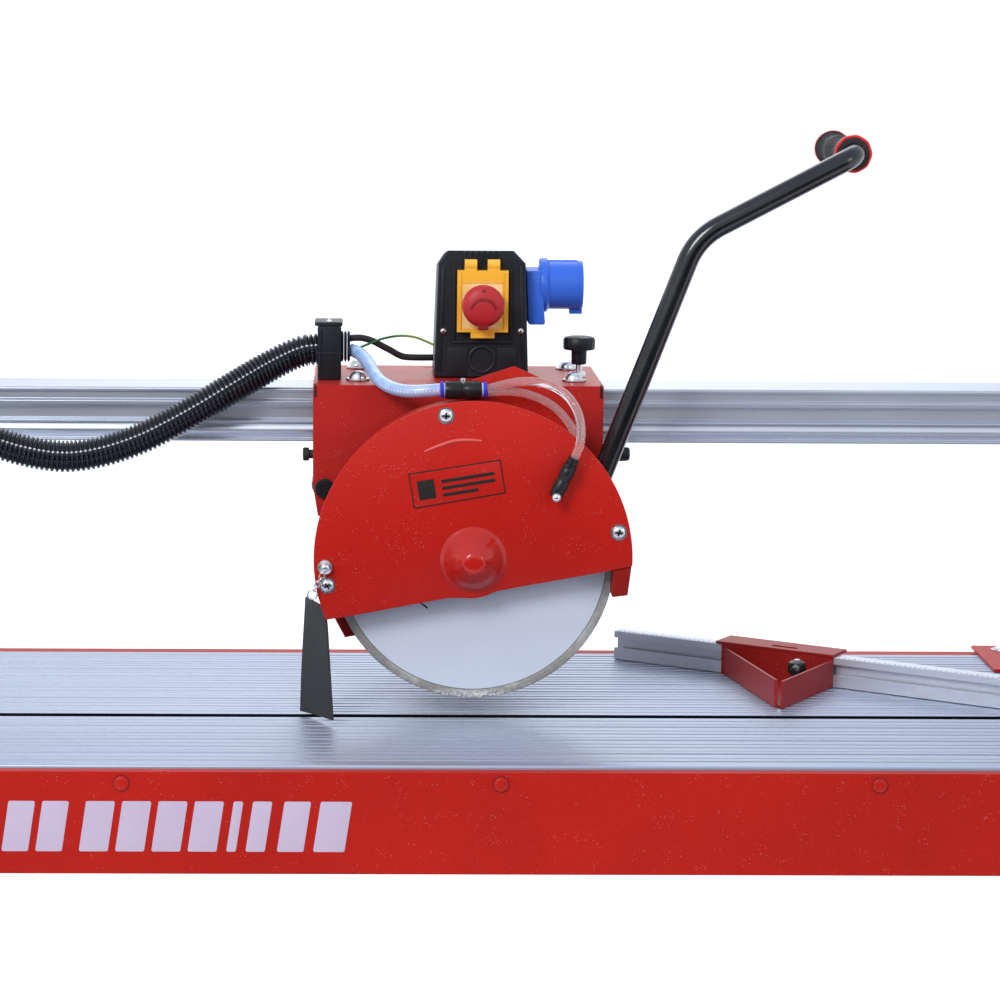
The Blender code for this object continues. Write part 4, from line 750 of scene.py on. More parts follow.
def conduit_finish():
    """Glossy black corrugated plastic with painted bluish sheen on the rib crests, painted shade in the
    grooves and a bright broken painted highlight along its slit.
    """
    f = moulded("corrugated_conduit", (0.006, 0.006, 0.008), 0.24, 400.0, 0.06, Coat_Weight=0.25)
    around = f.node("ShaderNodeAttribute", {"attribute_name": "around"}, output="Fac")
    crest = f.node("ShaderNodeAttribute", {"attribute_name": "crest"}, output="Fac")
    # painted sheen: rib crests mixed towards a bluish black; painted shade: grooves darker; painted
    # highlight: a bright broken line on the crests along the slit
    slit = f.maths("ABSOLUTE", around - 0.06) < 0.007
    painted_sheen_and_shade = f.mix(slit * crest * 0.75, f.mix(crest, (0.003, 0.003, 0.004), (0.006, 0.008, 0.014)),
                 (0.62, 0.66, 0.72))
    f.feed("Base Color", painted_sheen_and_shade)
    return f


def earth_finish():
    """Green sheath that gives way to yellow-green towards the switch."""
    f = moulded("earth_wire_sheath", (0.015, 0.130, 0.028), 0.35, 500.0, 0.05)
    along = f.node("ShaderNodeAttribute", {"attribute_name": "along"}, output="Fac")
    share = f.remap(along + 0.12 * f.noise(160.0), 0.55, 0.85)
    f.feed("Base Color", f.mix(share, (0.012, 0.120, 0.028), (0.300, 0.420, 0.060)))
    return f


def hose_finish():
    """Milky sky-blue hose with small printed dashes, a little lilac towards its connector."""
    f = Finish("blue_water_hose", (0.300, 0.450, 0.740), 0.30, Coat_Weight=0.5, Coat_Roughness=0.08)
    around = f.node("ShaderNodeAttribute", {"attribute_name": "around"}, output="Fac")
    along = f.node("ShaderNodeAttribute", {"attribute_name": "along"}, output="Fac")
    streaks = f.remap(f.noise(120.0, 3.0), 0.35, 0.70)
    wall = f.mix(streaks, (0.270, 0.420, 0.700), (0.360, 0.510, 0.780))
    wall = f.mix(f.remap(along, 0.55, 1.0) * 0.5, wall, (0.440, 0.420, 0.660))
    dash = (f.maths("FRACT", along * 44.0) < 0.45) * (f.maths("ABSOLUTE", around - 0.04) < 0.022)
    f.feed("Base Color", f.mix(dash * (along > 0.55) * 0.6, wall, (0.86, 0.88, 0.92)))
    f.feed("Alpha", 0.90 + 0.10 * streaks)
    f.material.surface_render_method = "BLENDED"
    return f.bump(f.noise(300.0), 0.06, 0.0003)


finishes["conduit"] = conduit_finish()
finishes["earth_wire"] = earth_finish()
finishes["blue_hose"] = hose_finish()


def carried(name, path, radius, finish, sides=24, crest=None, angle=60):
    """A tube mesh along a path that knows how far along and around itself each point is."""
    points, faces = swept(path, radius, sides)
    mesh = bpy.data.meshes.new(name)
    mesh.from_pydata(points.tolist(), [], faces)
    rows = len(path)
    marks = {
        "around": np.tile(np.arange(sides) / sides, rows),
        "along": np.repeat(np.linspace(0.0, 1.0, rows), sides),
        "crest": np.repeat(np.ones(rows) if crest is None else crest, sides),
    }
    for mark, values in marks.items():
        mesh.attributes.new(mark, "FLOAT", "POINT").data.foreach_set("value", values.astype(np.float32))
    return rest(mesh, name, finish, None, (), angle)


def corrugated(name, route, pitch=0.0042):
    """Corrugated conduit: each pitch rises from a narrow groove to a flat-topped rib."""
    fine = resampled(route, 0.0005)
    length = np.linalg.norm(np.diff(fine, axis=0), axis=1).sum()
    ribs = int(length / pitch)
    share = np.array((0.00, 0.10, 0.25, 0.52, 0.67, 0.77))
    rise = np.array((0.845, 0.955, 1.000, 1.000, 0.955, 0.845))
    stations = ((np.arange(ribs)[:, None] + share) * (length / ribs)).ravel()
    path = resampled(route, stations=stations)
    tall = np.tile(rise, ribs)[:len(path)]
    return carried(name, path, CONDUIT_RADIUS * tall, "conduit", 28, (tall - 0.845) / 0.155, 50)


def make_cords():
    """The corrugated conduit, the blue hose, the clear tubes, the motor cable and the earth wire."""
    conduit = corrugated("conduit_run", CONDUIT_ROUTE)
    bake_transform(conduit)
    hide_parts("conduit")
    lower = corrugated("conduit_drop", LOWER_CONDUIT_ROUTE)
    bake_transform(lower)
    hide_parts("conduit_lower")
    hose = carried("water_hose", resampled(BLUE_HOSE_ROUTE, 0.002), 0.0058, "blue_hose", 28)
    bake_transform(hose)
    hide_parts("blue_hose")
    plain = (
        ("clear_tube_front", TUBE_FRONT_ROUTE, 0.0038, "clear_hose", "head", "clear_hose", "tube_front"),
        ("clear_tube_rear", TUBE_REAR_ROUTE, 0.0036, "clear_hose", "head", "clear_hose", None),
        ("motor_lead", MOTOR_CABLE_ROUTE, 0.0030, "black_rubber", "carriage", "black_rubber", "motor_cable"),
        ("earth_wire", EARTH_WIRE_ROUTE, 0.0011, "earth_wire", "carriage", None, None),
    )
    for name, route, radius, finish, body, slot, stands_for in plain:
        tube = carried(name, resampled(route, 0.0015), radius, finish, 20)
        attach(tube, body)
        if stands_for:
            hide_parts(stands_for)


make_cords()


# ---------------------------------------------------------------- table and base
def drawn(outline, low, high):
    """A section in Y and Z drawn out along X."""
    outline = np.asarray(outline, float)
    return grid([np.column_stack([np.full(len(outline), x), outline]) for x in (low, high)])


def ribbed_slab(name, stands_for, slot_edge, outer_edge, steps, widths):
    """A table slab: grooves of repeating widths at repeating steps, rounded outer edge, webs below."""
    top, foot, skin, depth = SLAB_TOP, 0.775, 0.793, 0.0017
    step = 1 if outer_edge > slot_edge else -1
    width = abs(outer_edge - slot_edge)
    section = [(0.0004, top)]
    start, turn = 0.0095, 0
    while start + widths[turn % len(widths)] < width - 0.0050:
        groove = widths[turn % len(widths)]
        section += [(start, top), (start + 0.0004, top - depth), (start + groove - 0.0004, top - depth),
                    (start + groove, top)]
        start += steps[turn % len(steps)]
        turn += 1
    section += [(width - 0.0020, top), (width - 0.0012, top - 0.0003), (width - 0.0005, top - 0.0009),
                (width, top - 0.0020), (width, foot), (width - 0.003, foot)]
    webs = round(width / 0.045)
    gap = (width - 0.023) / webs
    section.append((width - 0.003, skin))
    for i in range(webs - 1, -1, -1):
        at = 0.020 + i * gap
        section += [(at + 0.003, skin), (at + 0.003, foot), (at, foot), (at, skin)]
    section += [(0.0042, skin), (0.0, top - 0.0025), (0.0, top - 0.0004)]
    section = [(slot_edge + step * across, up) for across, up in section]
    piece(name, drawn(section, -0.775, 0.775), "slab_metal", "table", (stands_for,), 25)


def bolt_heads(name, places, axis, direction, radius, finish, body, height=0.6):
    """Rounded heads on a face: places are (x, y, z), each head standing out along an axis."""
    shapes = []
    for x, y, z in places:
        at = {"X": x, "Y": y, "Z": z}[axis]
        centre = {"X": (0.0, y, z), "Y": (x, 0.0, z), "Z": (x, y, 0.0)}[axis]
        profile = dome(radius, radius * height, at, direction)
        washer = [(0.0, at), (radius * 1.45, at), (radius * 1.45, at + direction * radius * 0.12),
                  (0.0, at + direction * radius * 0.12)]
        shapes += [turned(profile, centre, axis, 32), turned(washer, centre, axis, 32)]
    return piece(name, gather(*shapes), finish, body)


def make_table():
    """Rails, frame, slabs, tray, pump and the two end supports."""
    eased("front_rail", "red_panel", 0.0015, 4)
    eased("rear_rail", "red_panel", 0.0009, 3)
    eased("base_frame", "red_paint", 0.0006)
    ribbed_slab("slab_front", "table_slab_front", SLOT_MIDDLE - SLOT_HALF, -0.2388,
                (0.0135, 0.0090, 0.0160, 0.0110), (0.0042, 0.0024, 0.0050, 0.0030))
    ribbed_slab("slab_rear", "table_slab_rear", SLOT_MIDDLE + SLOT_HALF, 0.2202,
                (0.0110, 0.0085, 0.0125), (0.0036, 0.0026, 0.0045))
    eased("water_tray", "galvanised", 0.0005)
    rivets = [(x, -0.2500, 0.7870) for x in (-0.784, -0.469, -0.1545, 0.1594, 0.4735, 0.788)]
    heads = [turned(dome(0.0062, 0.0030, y, -1.0), (x, 0.0, z), "Y", 32) for x, y, z in rivets]
    rear = [turned(dome(0.0062, 0.0021, 0.2500, 1.0), (x, 0.0, z), "Y", 32) for x, _, z in rivets]
    piece("rail_rivets", gather(*heads, *rear), "red_panel", "table")
    # darker red rings just round the rivet heads: painted shade where the heads meet the rail
    rims = [turned([(0.0, -0.2504), (0.0070, -0.2504), (0.0074, -0.2499), (0.0, -0.2499)],
                   (x, 0.0, z), "Y", 32) for x, _, z in rivets]
    piece("rivet_rims", gather(*rims), "red_dark", "table")
    blocks = []
    low, high, slant = 0.7290, 0.7718, 0.0065
    for start, end in ((-0.254, -0.232), (-0.226, -0.204), (-0.190, -0.166), (-0.160, -0.136),
                       (-0.130, -0.106), (-0.100, -0.076), (-0.068, -0.060), (-0.052, -0.036),
                       (-0.026, -0.004), (0.004, 0.030)):
        corners = [(start, low), (end, low), (end + slant, high), (start + slant, high)]
        blocks.append(slab(rounded_outline(corners, 0.0015, 3), "XZ", -0.25025, -0.2499, 0.00005))
    piece("panel_marks", gather(*blocks), "pale_print", "table")
    sides = gather(turned([(0.0, -0.0060), (0.0150, -0.0060), (0.0165, -0.0045), (0.0165, 0.0), (0.0, 0.0)],
                          (0.350, 0.200, 0.7119), "Z", 6),
                   turned([(0.0, -0.0110), (0.0080, -0.0110), (0.0090, -0.0100), (0.0090, -0.0055),
                           (0.0, -0.0055)], (0.350, 0.200, 0.7119), "Z", 24))
    piece("drain_plug", sides, "black_plastic", "table")
    body = block((-0.735, 0.090, 0.7142), (-0.672, 0.150, 0.7440), 0.003, "XY", 0.007)
    # near-black strips on the pump's front: painted shade standing in for its grille slots
    slots = [block((x, 0.0896, 0.7175), (x + 0.0016, 0.0904, 0.7290), 0.0001)
             for x in np.linspace(-0.730, -0.680, 12)]
    spigot = turned([(0.0, 0.7525), (0.0045, 0.7525), (0.0060, 0.7505), (0.0060, 0.7480), (0.0050, 0.7478),
                     (0.0060, 0.7450), (0.0085, 0.7440), (0.0, 0.7435)], (-0.704, 0.120, 0.0), "Z", 32)
    piece("pump_body", gather(body, spigot), "black_plastic", "table", ("water_pump",))
    piece("pump_slots", gather(*slots), "dark_line", "table")
    for label, side in (("left", -1), ("right", 1)):
        eased("end_support_" + label, "red_paint", 0.0006)
        places = [(side * x, y, 0.8033) for x in (0.672, 0.745) for y in (0.158, 0.228)]
        bolt_heads("support_bolts_" + label, places, "Z", 1.0, 0.0065, "zinc", "table")


def make_legs():
    """Two splayed tube frames with rubber feet and the bolts they fold on."""
    splay, reach = radians(5.8), 0.6600
    for label, side in (("left", -1), ("right", 1)):
        body = "leg_" + label
        drop = np.array((side * sin(splay), 0.0, -cos(splay)))
        hinge = np.array((side * 0.7685, 0.0, 0.688))
        tubes, heads = [], []
        for face in (-1, 1):
            across = np.array((0.0, face * 0.196, 0.0))
            run = [hinge - drop * 0.0100 + across, hinge + drop * reach + across]
            shape = swept(np.linspace(*run, 12), 0.0125, 32, (0.0, 1.0, 0.0))
            tubes.append(shape)
            y = sorted((face * 0.196, face * 0.2165))
            tubes.append(turned([(0.0, y[0]), (0.0045, y[0]), (0.0045, y[1]), (0.0, y[1])],
                                (hinge[0], 0.0, hinge[2]), "Y", 20))
            heads.append(turned(dome(0.0085, 0.0055, face * 0.2136, face), (hinge[0], 0.0, hinge[2]), "Y", 6))
            x = hinge[0] + side * sin(splay) * reach
            top = hinge[2] - cos(splay) * reach - 0.0025
            rubber = [(0.0, top + 0.0020), (0.0150, top + 0.0018), (0.0165, top), (0.0170, 0.0240),
                      (0.0178, 0.0200), (0.0172, 0.0170), (0.0190, 0.0130), (0.0184, 0.0100),
                      (0.0205, 0.0060), (0.0205, 0.0008), (0.0198, 0.0), (0.0, 0.0)]
            where = "front" if face < 0 else "rear"
            foot = turned(rubber, (x, face * 0.196, 0.0), "Z", 40)
            piece("rubber_foot_%s_%s" % (label, where), foot, "black_rubber", body,
                  ("foot_%s_%s" % (label, where),))
        for along in (0.090, 0.500):
            middle = hinge + drop * along
            half = np.array((0.0, 0.1900, 0.0))
            tubes.append(swept(np.linspace(middle - half, middle + half, 12), 0.0106, 28, (1.0, 0.0, 0.0)))
        piece("leg_tubes_" + label, gather(*tubes), "red_paint", body, ("leg_" + label,))
        piece("leg_bolts_" + label, gather(*heads), "zinc", body)


# ---------------------------------------------------------------- bridge
def make_bridge():
    """Beam, tilt arms with their locks and bolts, and the conduit's hanger."""
    eased("beam", "aluminium", 0.0004)
    pivot, lock = (-0.0555, 0.800), radians(62.0)
    lock_y, lock_z = pivot[0] + 0.170 * cos(lock), pivot[1] + 0.170 * sin(lock)
    for label, side in (("left", -1), ("right", 1)):
        eased("tilt_arm_" + label, "red_paint", 0.0006)
        places = [(side * 0.7915, y, z) for y in (0.060, 0.096) for z in (1.045, 1.070)]
        bolt_heads("beam_bolts_" + label, places, "X", side, 0.0045, "zinc", "bridge")
        stem = [(0.0, side * 0.7770), (0.0042, side * 0.7770), (0.0042, side * 0.7920),
                (0.0090, side * 0.7920), (0.0090, side * 0.8030), (0.0, side * 0.8030)]
        grip = [(0.0, side * 0.8020), (0.0090, side * 0.8030), (0.0140, side * 0.8060),
                (0.0160, side * 0.8120), (0.0154, side * 0.8200), (0.0125, side * 0.8250),
                (0.0080, side * 0.8260), (0.0, side * 0.8262)]
        place = (0.0, lock_y, lock_z)
        piece("tilt_grip_" + label, turned(grip, place, "X", 72, lobes=6, depth=0.07), "black_plastic",
              "tilt_lock_" + label, ("tilt_knob_" + label,))
        piece("tilt_stem_" + label, turned(stem, place, "X", 28), "zinc", "tilt_lock_" + label)
    post = softened([(-0.8000, 0.080, 1.000), (-0.8000, 0.080, 1.150), (-0.8030, 0.037, 1.217)], 0.030, 10)
    ring = turned([(0.0165, -0.8070), (0.0165, -0.7990), (0.0185, -0.7988), (0.0210, -0.7994),
                   (0.0215, -0.8010), (0.0215, -0.8050), (0.0210, -0.8066), (0.0185, -0.8072)],
                  (0.0, 0.0360, 1.2350), "X", 56, True)
    lug = block((-0.8050, 0.072, 1.030), (-0.7918, 0.088, 1.070), 0.0010, "YZ")
    piece("hanger", gather(swept(post, 0.006, 28, (1.0, 0.0, 0.0)), ring, lug), "steel", "bridge",
          ("conduit_hanger",))


# ---------------------------------------------------------------- carriage
ROLLER_PLACES = {"front_left": (0.0395, 0.030), "front_right": (0.2345, 0.030),
                 "rear_left": (0.0395, 0.126), "rear_right": (0.2345, 0.126)}


def make_carriage():
    """Folded hood, rollers and bolts, knobs, the pivot's pin and the left stop."""
    eased("carriage_housing", "red_glare", 0.0010, 3)
    for label, (x, y) in ROLLER_PLACES.items():
        roller = [(0.0055, 0.0060), (0.0115, 0.0060), (0.0120, 0.0055), (0.0120, 0.0043), (0.0180, 0.0040),
                  (0.0205, 0.0024), (0.0207, 0.0018), (0.0207, -0.0018), (0.0205, -0.0024),
                  (0.0180, -0.0040), (0.0120, -0.0043), (0.0120, -0.0055), (0.0115, -0.0060),
                  (0.0055, -0.0060)]
        piece("wheel_" + label, turned(roller, (x, y, 1.0578), "Z", 72, True), "steel",
              "roller_" + label, ("guide_roller_" + label,))
        top, mid = 1.0903, 1.0578
        bolt = [(0.0, top + 0.0085), (0.0020, top + 0.0083), (0.0040, top + 0.0076), (0.0058, top + 0.0062),
                (0.0070, top + 0.0044), (0.0078, top + 0.0024), (0.0078, top + 0.0016), (0.0, top + 0.0016)]
        washer = [(0.0, top), (0.0105, top), (0.0108, top + 0.0003), (0.0108, top + 0.0012),
                  (0.0104, top + 0.0017), (0.0, top + 0.0017)]
        shank = [(0.0, top), (0.0050, top), (0.0050, 1.0860), (0.0075, 1.0860), (0.0075, mid + 0.0064),
                 (0.0050, mid + 0.0064), (0.0050, mid - 0.0064), (0.0075, mid - 0.0064), (0.0075, 1.0440),
                 (0.0, 1.0440)]
        shapes = [turned(profile, (x, y, 0.0), "Z", 40) for profile in (bolt, washer, shank)]
        piece("bolt_" + label, gather(*shapes), "zinc", "carriage", ("roller_bolt_" + label,))
    x, y = 0.2410, 0.0620
    cap = [(0.0, 1.1275), (0.0100, 1.1275), (0.0130, 1.1268), (0.0144, 1.1248), (0.0144, 1.1172),
           (0.0136, 1.1156), (0.0110, 1.1152), (0.0070, 1.1150), (0.0068, 1.1030), (0.0060, 1.1020),
           (0.0, 1.1020)]
    piece("lock_cap", turned(cap, (x, y, 0.0), "Z", 72, lobes=18, depth=0.012), "black_plastic",
          "carriage_lock", ("carriage_lock_knob",))
    stem = [(0.0, 1.1022), (0.0030, 1.1022), (0.0030, 1.0816), (0.0, 1.0816)]
    nut = [(0.0, 1.0950), (0.0058, 1.0950), (0.0062, 1.0944), (0.0062, 1.0904), (0.0, 1.0904)]
    piece("lock_stem", gather(turned(stem, (x, y, 0.0), "Z", 24), turned(nut, (x, y, 0.0), "Z", 6)), "zinc",
          "carriage_lock")
    face = 0.2589
    taper = [(0.0, face + 0.0262), (0.0040, face + 0.0262), (0.0055, face + 0.0254), (0.0060, face + 0.0235),
             (0.0066, face + 0.0150), (0.0064, face + 0.0080), (0.0058, face + 0.0050),
             (0.0072, face + 0.0040), (0.0072, face + 0.0006), (0.0060, face), (0.0, face)]
    piece("head_lock_grip", turned(taper, (0.0, 0.0200, 1.0253), "X", 60, lobes=8, depth=0.05),
          "black_plastic", "head_lock", ("head_lock_knob",))
    bumper = [(0.0, -0.0098), (0.0050, -0.0098), (0.0060, -0.0088), (0.0060, -0.0045), (0.0040, -0.0040),
              (0.0040, -0.0003), (0.0, -0.0003)]
    piece("left_bumper", turned(bumper, (0.0, 0.0200, 1.0240), "X", 36), "black_rubber", "carriage")
    pin = [(0.0, 0.1565), (0.0080, 0.1565), (0.0085, 0.1560), (0.0085, 0.1523), (0.0070, 0.1523),
           (0.0070, -0.0083), (0.0088, -0.0083), (0.0090, -0.0087), (0.0090, -0.0103), (0.0078, -0.0118),
           (0.0040, -0.0120), (0.0035, -0.0112), (0.0, -0.0112)]
    piece("pivot_rod", turned(pin, (0.0103, 0.0, 0.9970), "Y", 40), "black_gloss", "carriage",
          ("pivot_pin",))
    # near-black strips at the hood's folds and on its top: painted shade standing in for the relief slits
    notches = []
    for x0, x1 in ((0.0006, 0.0030), (0.2552, 0.2578)):
        notches.append(block((x0, -0.00815, 1.0790), (x1, -0.0079, 1.0893), 0.0001))
        notches.append(block((x0, -0.0077, 1.0898), (x1, 0.0010, 1.09015), 0.0001, "XY"))
    for x0, x1, y0 in ((0.1010, 0.1090, 0.0080), (0.1010, 0.1090, 0.1350), (0.1960, 0.2040, 0.0080)):
        notches.append(block((x0, y0, 1.0899), (x1, y0 + 0.0012, 1.09012), 0.0001, "XY"))
    piece("fold_reliefs", gather(*notches), "dark_line", "carriage")


def make_clamp():
    """The block on the hood that grips the conduit: body, lid, end rings and lid screws."""
    y0, y1 = 0.0290, 0.0642
    body = block((0.0030, y0, 1.0903), (0.0243, y1, 1.1392), 0.0012, "XZ", 0.0022)
    ribs = [block((x, y0 - 0.0010, 1.0930), (x + 0.0016, y1 + 0.0010, 1.1360), 0.0004)
            for x in (0.0050, 0.0205)]
    seam = block((0.0022, y0 - 0.0008, 1.1130), (0.0250, y1 + 0.0008, 1.1152), 0.0006)
    rings = []
    for i in range(3):
        x = 0.0238 + 0.0030 * i
        rings.append(turned([(0.0, x), (0.0118, x), (0.0136, x + 0.0006), (0.0142, x + 0.0012),
                             (0.0136, x + 0.0020), (0.0118, x + 0.0026), (0.0, x + 0.0026)],
                            (0.0, 0.0466, 1.1190), "X", 40))
    piece("clamp_body", gather(body, *ribs, seam, *rings), "black_plastic", "carriage",
          ("conduit_clamp",))
    lid = block((0.0005, y0 - 0.0012, 1.1390), (0.0255, y1 + 0.0012, 1.1426), 0.0007, "XY", 0.0020)
    piece("clamp_lid", lid, "black_plastic", "carriage")
    screws = [turned(dome(0.0028, 0.0016, 1.1426), (0.0135, y, 0.0), "Z", 24)
              for y in (y0 + 0.005, y1 - 0.005)]
    piece("clamp_screws", gather(*screws), "zinc", "carriage")


def make_switch():
    """The no-volt switch: grained box with ridges, yellow flap, mushroom button, start button."""
    box = eased("switch_box", "black_plastic", 0.0)
    front, fall, shoulder = 0.0500, 0.095, 1.17
    for corner in box.data.vertices:            # the lid slopes down towards its back
        if corner.co.z > shoulder:
            corner.co.z -= fall * max(0.0, corner.co.y - front)
    trims = []
    for i in range(7):
        x = 0.1342 + i * 0.0052
        trims.append(block((x, front - 0.0014, 1.1960), (x + 0.0026, front + 0.0060, 1.2052), 0.0005))
    trims += [
        slab(np.array([(0.1122, 1.0960), (0.1148, 1.0960), (0.1176, 1.1920), (0.1150, 1.1920)]), "XZ",
             front - 0.0012, front + 0.001, 0.0004),
        slab(np.array([(0.1881, 1.0960), (0.1907, 1.0960), (0.1879, 1.1920), (0.1853, 1.1920)]), "XZ",
             front - 0.0012, front + 0.001, 0.0004),
        block((0.1202, front - 0.0010, 1.0935), (0.1387, front + 0.001, 1.1180), 0.0004, "XZ", 0.0020),
        block((0.1656, front - 0.0010, 1.0935), (0.1832, front + 0.001, 1.1180), 0.0004, "XZ", 0.0020),
        turned([(0.0104, front + 0.001), (0.0104, front - 0.0012), (0.0110, front - 0.0016),
                (0.0120, front - 0.0016), (0.0126, front - 0.0012), (0.0126, front + 0.001)],
               (0.1517, 0.0, 1.1071), "Y", 56, True),
        block((0.1250, front - 0.0020, 1.1240), (0.1275, front + 0.001, 1.1900), 0.0005),
        block((0.1763, front - 0.0020, 1.1240), (0.1788, front + 0.001, 1.1900), 0.0005),
        block((0.1250, front - 0.0020, 1.1218), (0.1788, front + 0.001, 1.1242), 0.0005),
    ]
    piece("switch_trims", gather(*trims), "black_plastic", "carriage")
    places = ((0.1168, 1.1329), (0.1866, 1.1333))
    heads, slots = zip(*(cross_head(x, front, z, 0.0030, 0.5) for x, z in places))
    piece("switch_screws", gather(*heads), "zinc", "carriage")
    piece("switch_screw_slots", gather(*slots), "dark_line", "carriage")
    eased("switch_flap", "flap_yellow", 0.0009, 3)
    ridges = [block((x, 0.0394, 1.1350), (x + 0.0012, 0.0404, 1.1868), 0.0004) for x in (0.1318, 0.1707)]
    ridges.append(block((0.1330, 0.0396, 1.1772), (0.1707, 0.0404, 1.1780), 0.0002))
    piece("flap_ridges", gather(*ridges), "yellow_plastic", "flap")
    x, z = 0.1519, 1.1576
    stem = [(0.0, 0.0440), (0.0042, 0.0440), (0.0042, 0.0345), (0.0060, 0.0340), (0.0170, 0.0332),
            (0.0184, 0.0322), (0.0190, 0.0306), (0.0190, 0.0285), (0.0180, 0.0258), (0.0160, 0.0236),
            (0.0128, 0.0222), (0.0090, 0.0214), (0.0045, 0.0210), (0.0, 0.0209)]
    piece("mushroom", turned(stem, (x, 0.0, z), "Y", 72), "red_plastic", "stop",
          ("stop_button",))
    # painted shade: a darker red crescent along the top of the button's dished face; the tab and the small
    # mark take the same darker red
    outer, inner = arc((x, z - 0.0040), 0.0122, 12, 168, 28), arc((x, z - 0.0062), 0.0112, 160, 20, 28)
    crescent = slab(np.concatenate([outer, inner]), "XZ", 0.02080, 0.0240, 0.0002)
    tab = block((x - 0.0048, 0.0250, z - 0.0216), (x + 0.0048, 0.0320, z - 0.0160), 0.0010)
    mark = block((x - 0.0012, 0.0214, z + 0.0130), (x + 0.0012, 0.0240, z + 0.0155), 0.0004)
    piece("mushroom_shade_and_marks", gather(crescent, tab, mark), "red_dark", "stop")
    start = [(0.0, 0.0520), (0.0055, 0.0520), (0.0055, 0.0458), (0.0050, 0.0450), (0.0030, 0.0448),
             (0.0, 0.0448)]
    piece("start_cap", turned(start, (x, 0.0, 1.1430), "Y", 40), "green_plastic", "start",
          ("start_button",))


def make_inlet():
    """The blue industrial inlet: slanted base, collar, open shroud with key, three pins."""
    y, z = 0.0875, 1.1720
    base = slab(rounded_outline([(0.1946, 1.1375), (0.2100, 1.1375), (0.2060, 1.1868), (0.1922, 1.1868)],
                                0.0020, 4), "XZ", y - 0.0230, y + 0.0230, 0.0012)
    shroud = turned([(0.0190, 0.2440), (0.0194, 0.2447), (0.0214, 0.2447), (0.0221, 0.2440), (0.0223, 0.2425),
                     (0.0223, 0.2405), (0.0219, 0.2400), (0.0219, 0.2140), (0.0226, 0.2132), (0.0245, 0.2118),
                     (0.0247, 0.2108), (0.0247, 0.2062), (0.0242, 0.2055), (0.0, 0.2050), (0.0, 0.2120),
                     (0.0190, 0.2120)], (0.0, y, z), "X", 72)
    key = block((0.2330, y - 0.0040, z - 0.0262), (0.2447, y + 0.0040, z - 0.0205), 0.0006)
    rib = block((0.2120, y - 0.0012, z + 0.0215), (0.2400, y + 0.0012, z + 0.0229), 0.0004)
    piece("inlet_body", gather(base, shroud, key, rib), "blue_plastic", "carriage",
          ("power_inlet",))
    pins = []
    for turn in (pi, pi / 3, -pi / 3):
        pins.append(turned([(0.0, 0.2372), (0.0016, 0.2371), (0.0025, 0.2358), (0.0025, 0.2110),
                            (0.0, 0.2110)], (0.0, y + 0.0095 * sin(turn), z + 0.0095 * cos(turn)), "X", 24))
    piece("inlet_pins", gather(*pins), "zinc", "carriage")


# ---------------------------------------------------------------- head
COVER_CENTRE = (0.1410, 0.9455)
COVER_RADIUS = 0.1395
COVER_FRONT = -0.0805
PIVOT = (0.0103, 0.9970)


def cover_outline(shrink=0.0):
    """The guard cover: a circle cut by a rising lower edge that sags under the boss."""
    x, z = COVER_CENTRE
    start = np.degrees(np.arctan2(0.9407 - z, 0.2800 - x))
    end = 180 + np.degrees(np.arctan2(z - 0.8924, x - 0.0143))
    lower = [(0.0313, 0.8944), (0.0767, 0.9032), (0.1100, 0.9096), (0.1200, 0.9113), (0.1310, 0.9114),
             (0.1396, 0.9111), (0.1450, 0.9115), (0.1500, 0.9127), (0.1540, 0.9141), (0.1580, 0.9160),
             (0.1623, 0.9176), (0.1700, 0.9192), (0.1815, 0.9214), (0.2566, 0.9353)]
    return np.concatenate([arc(COVER_CENTRE, COVER_RADIUS - shrink, start, end, 160), lower])


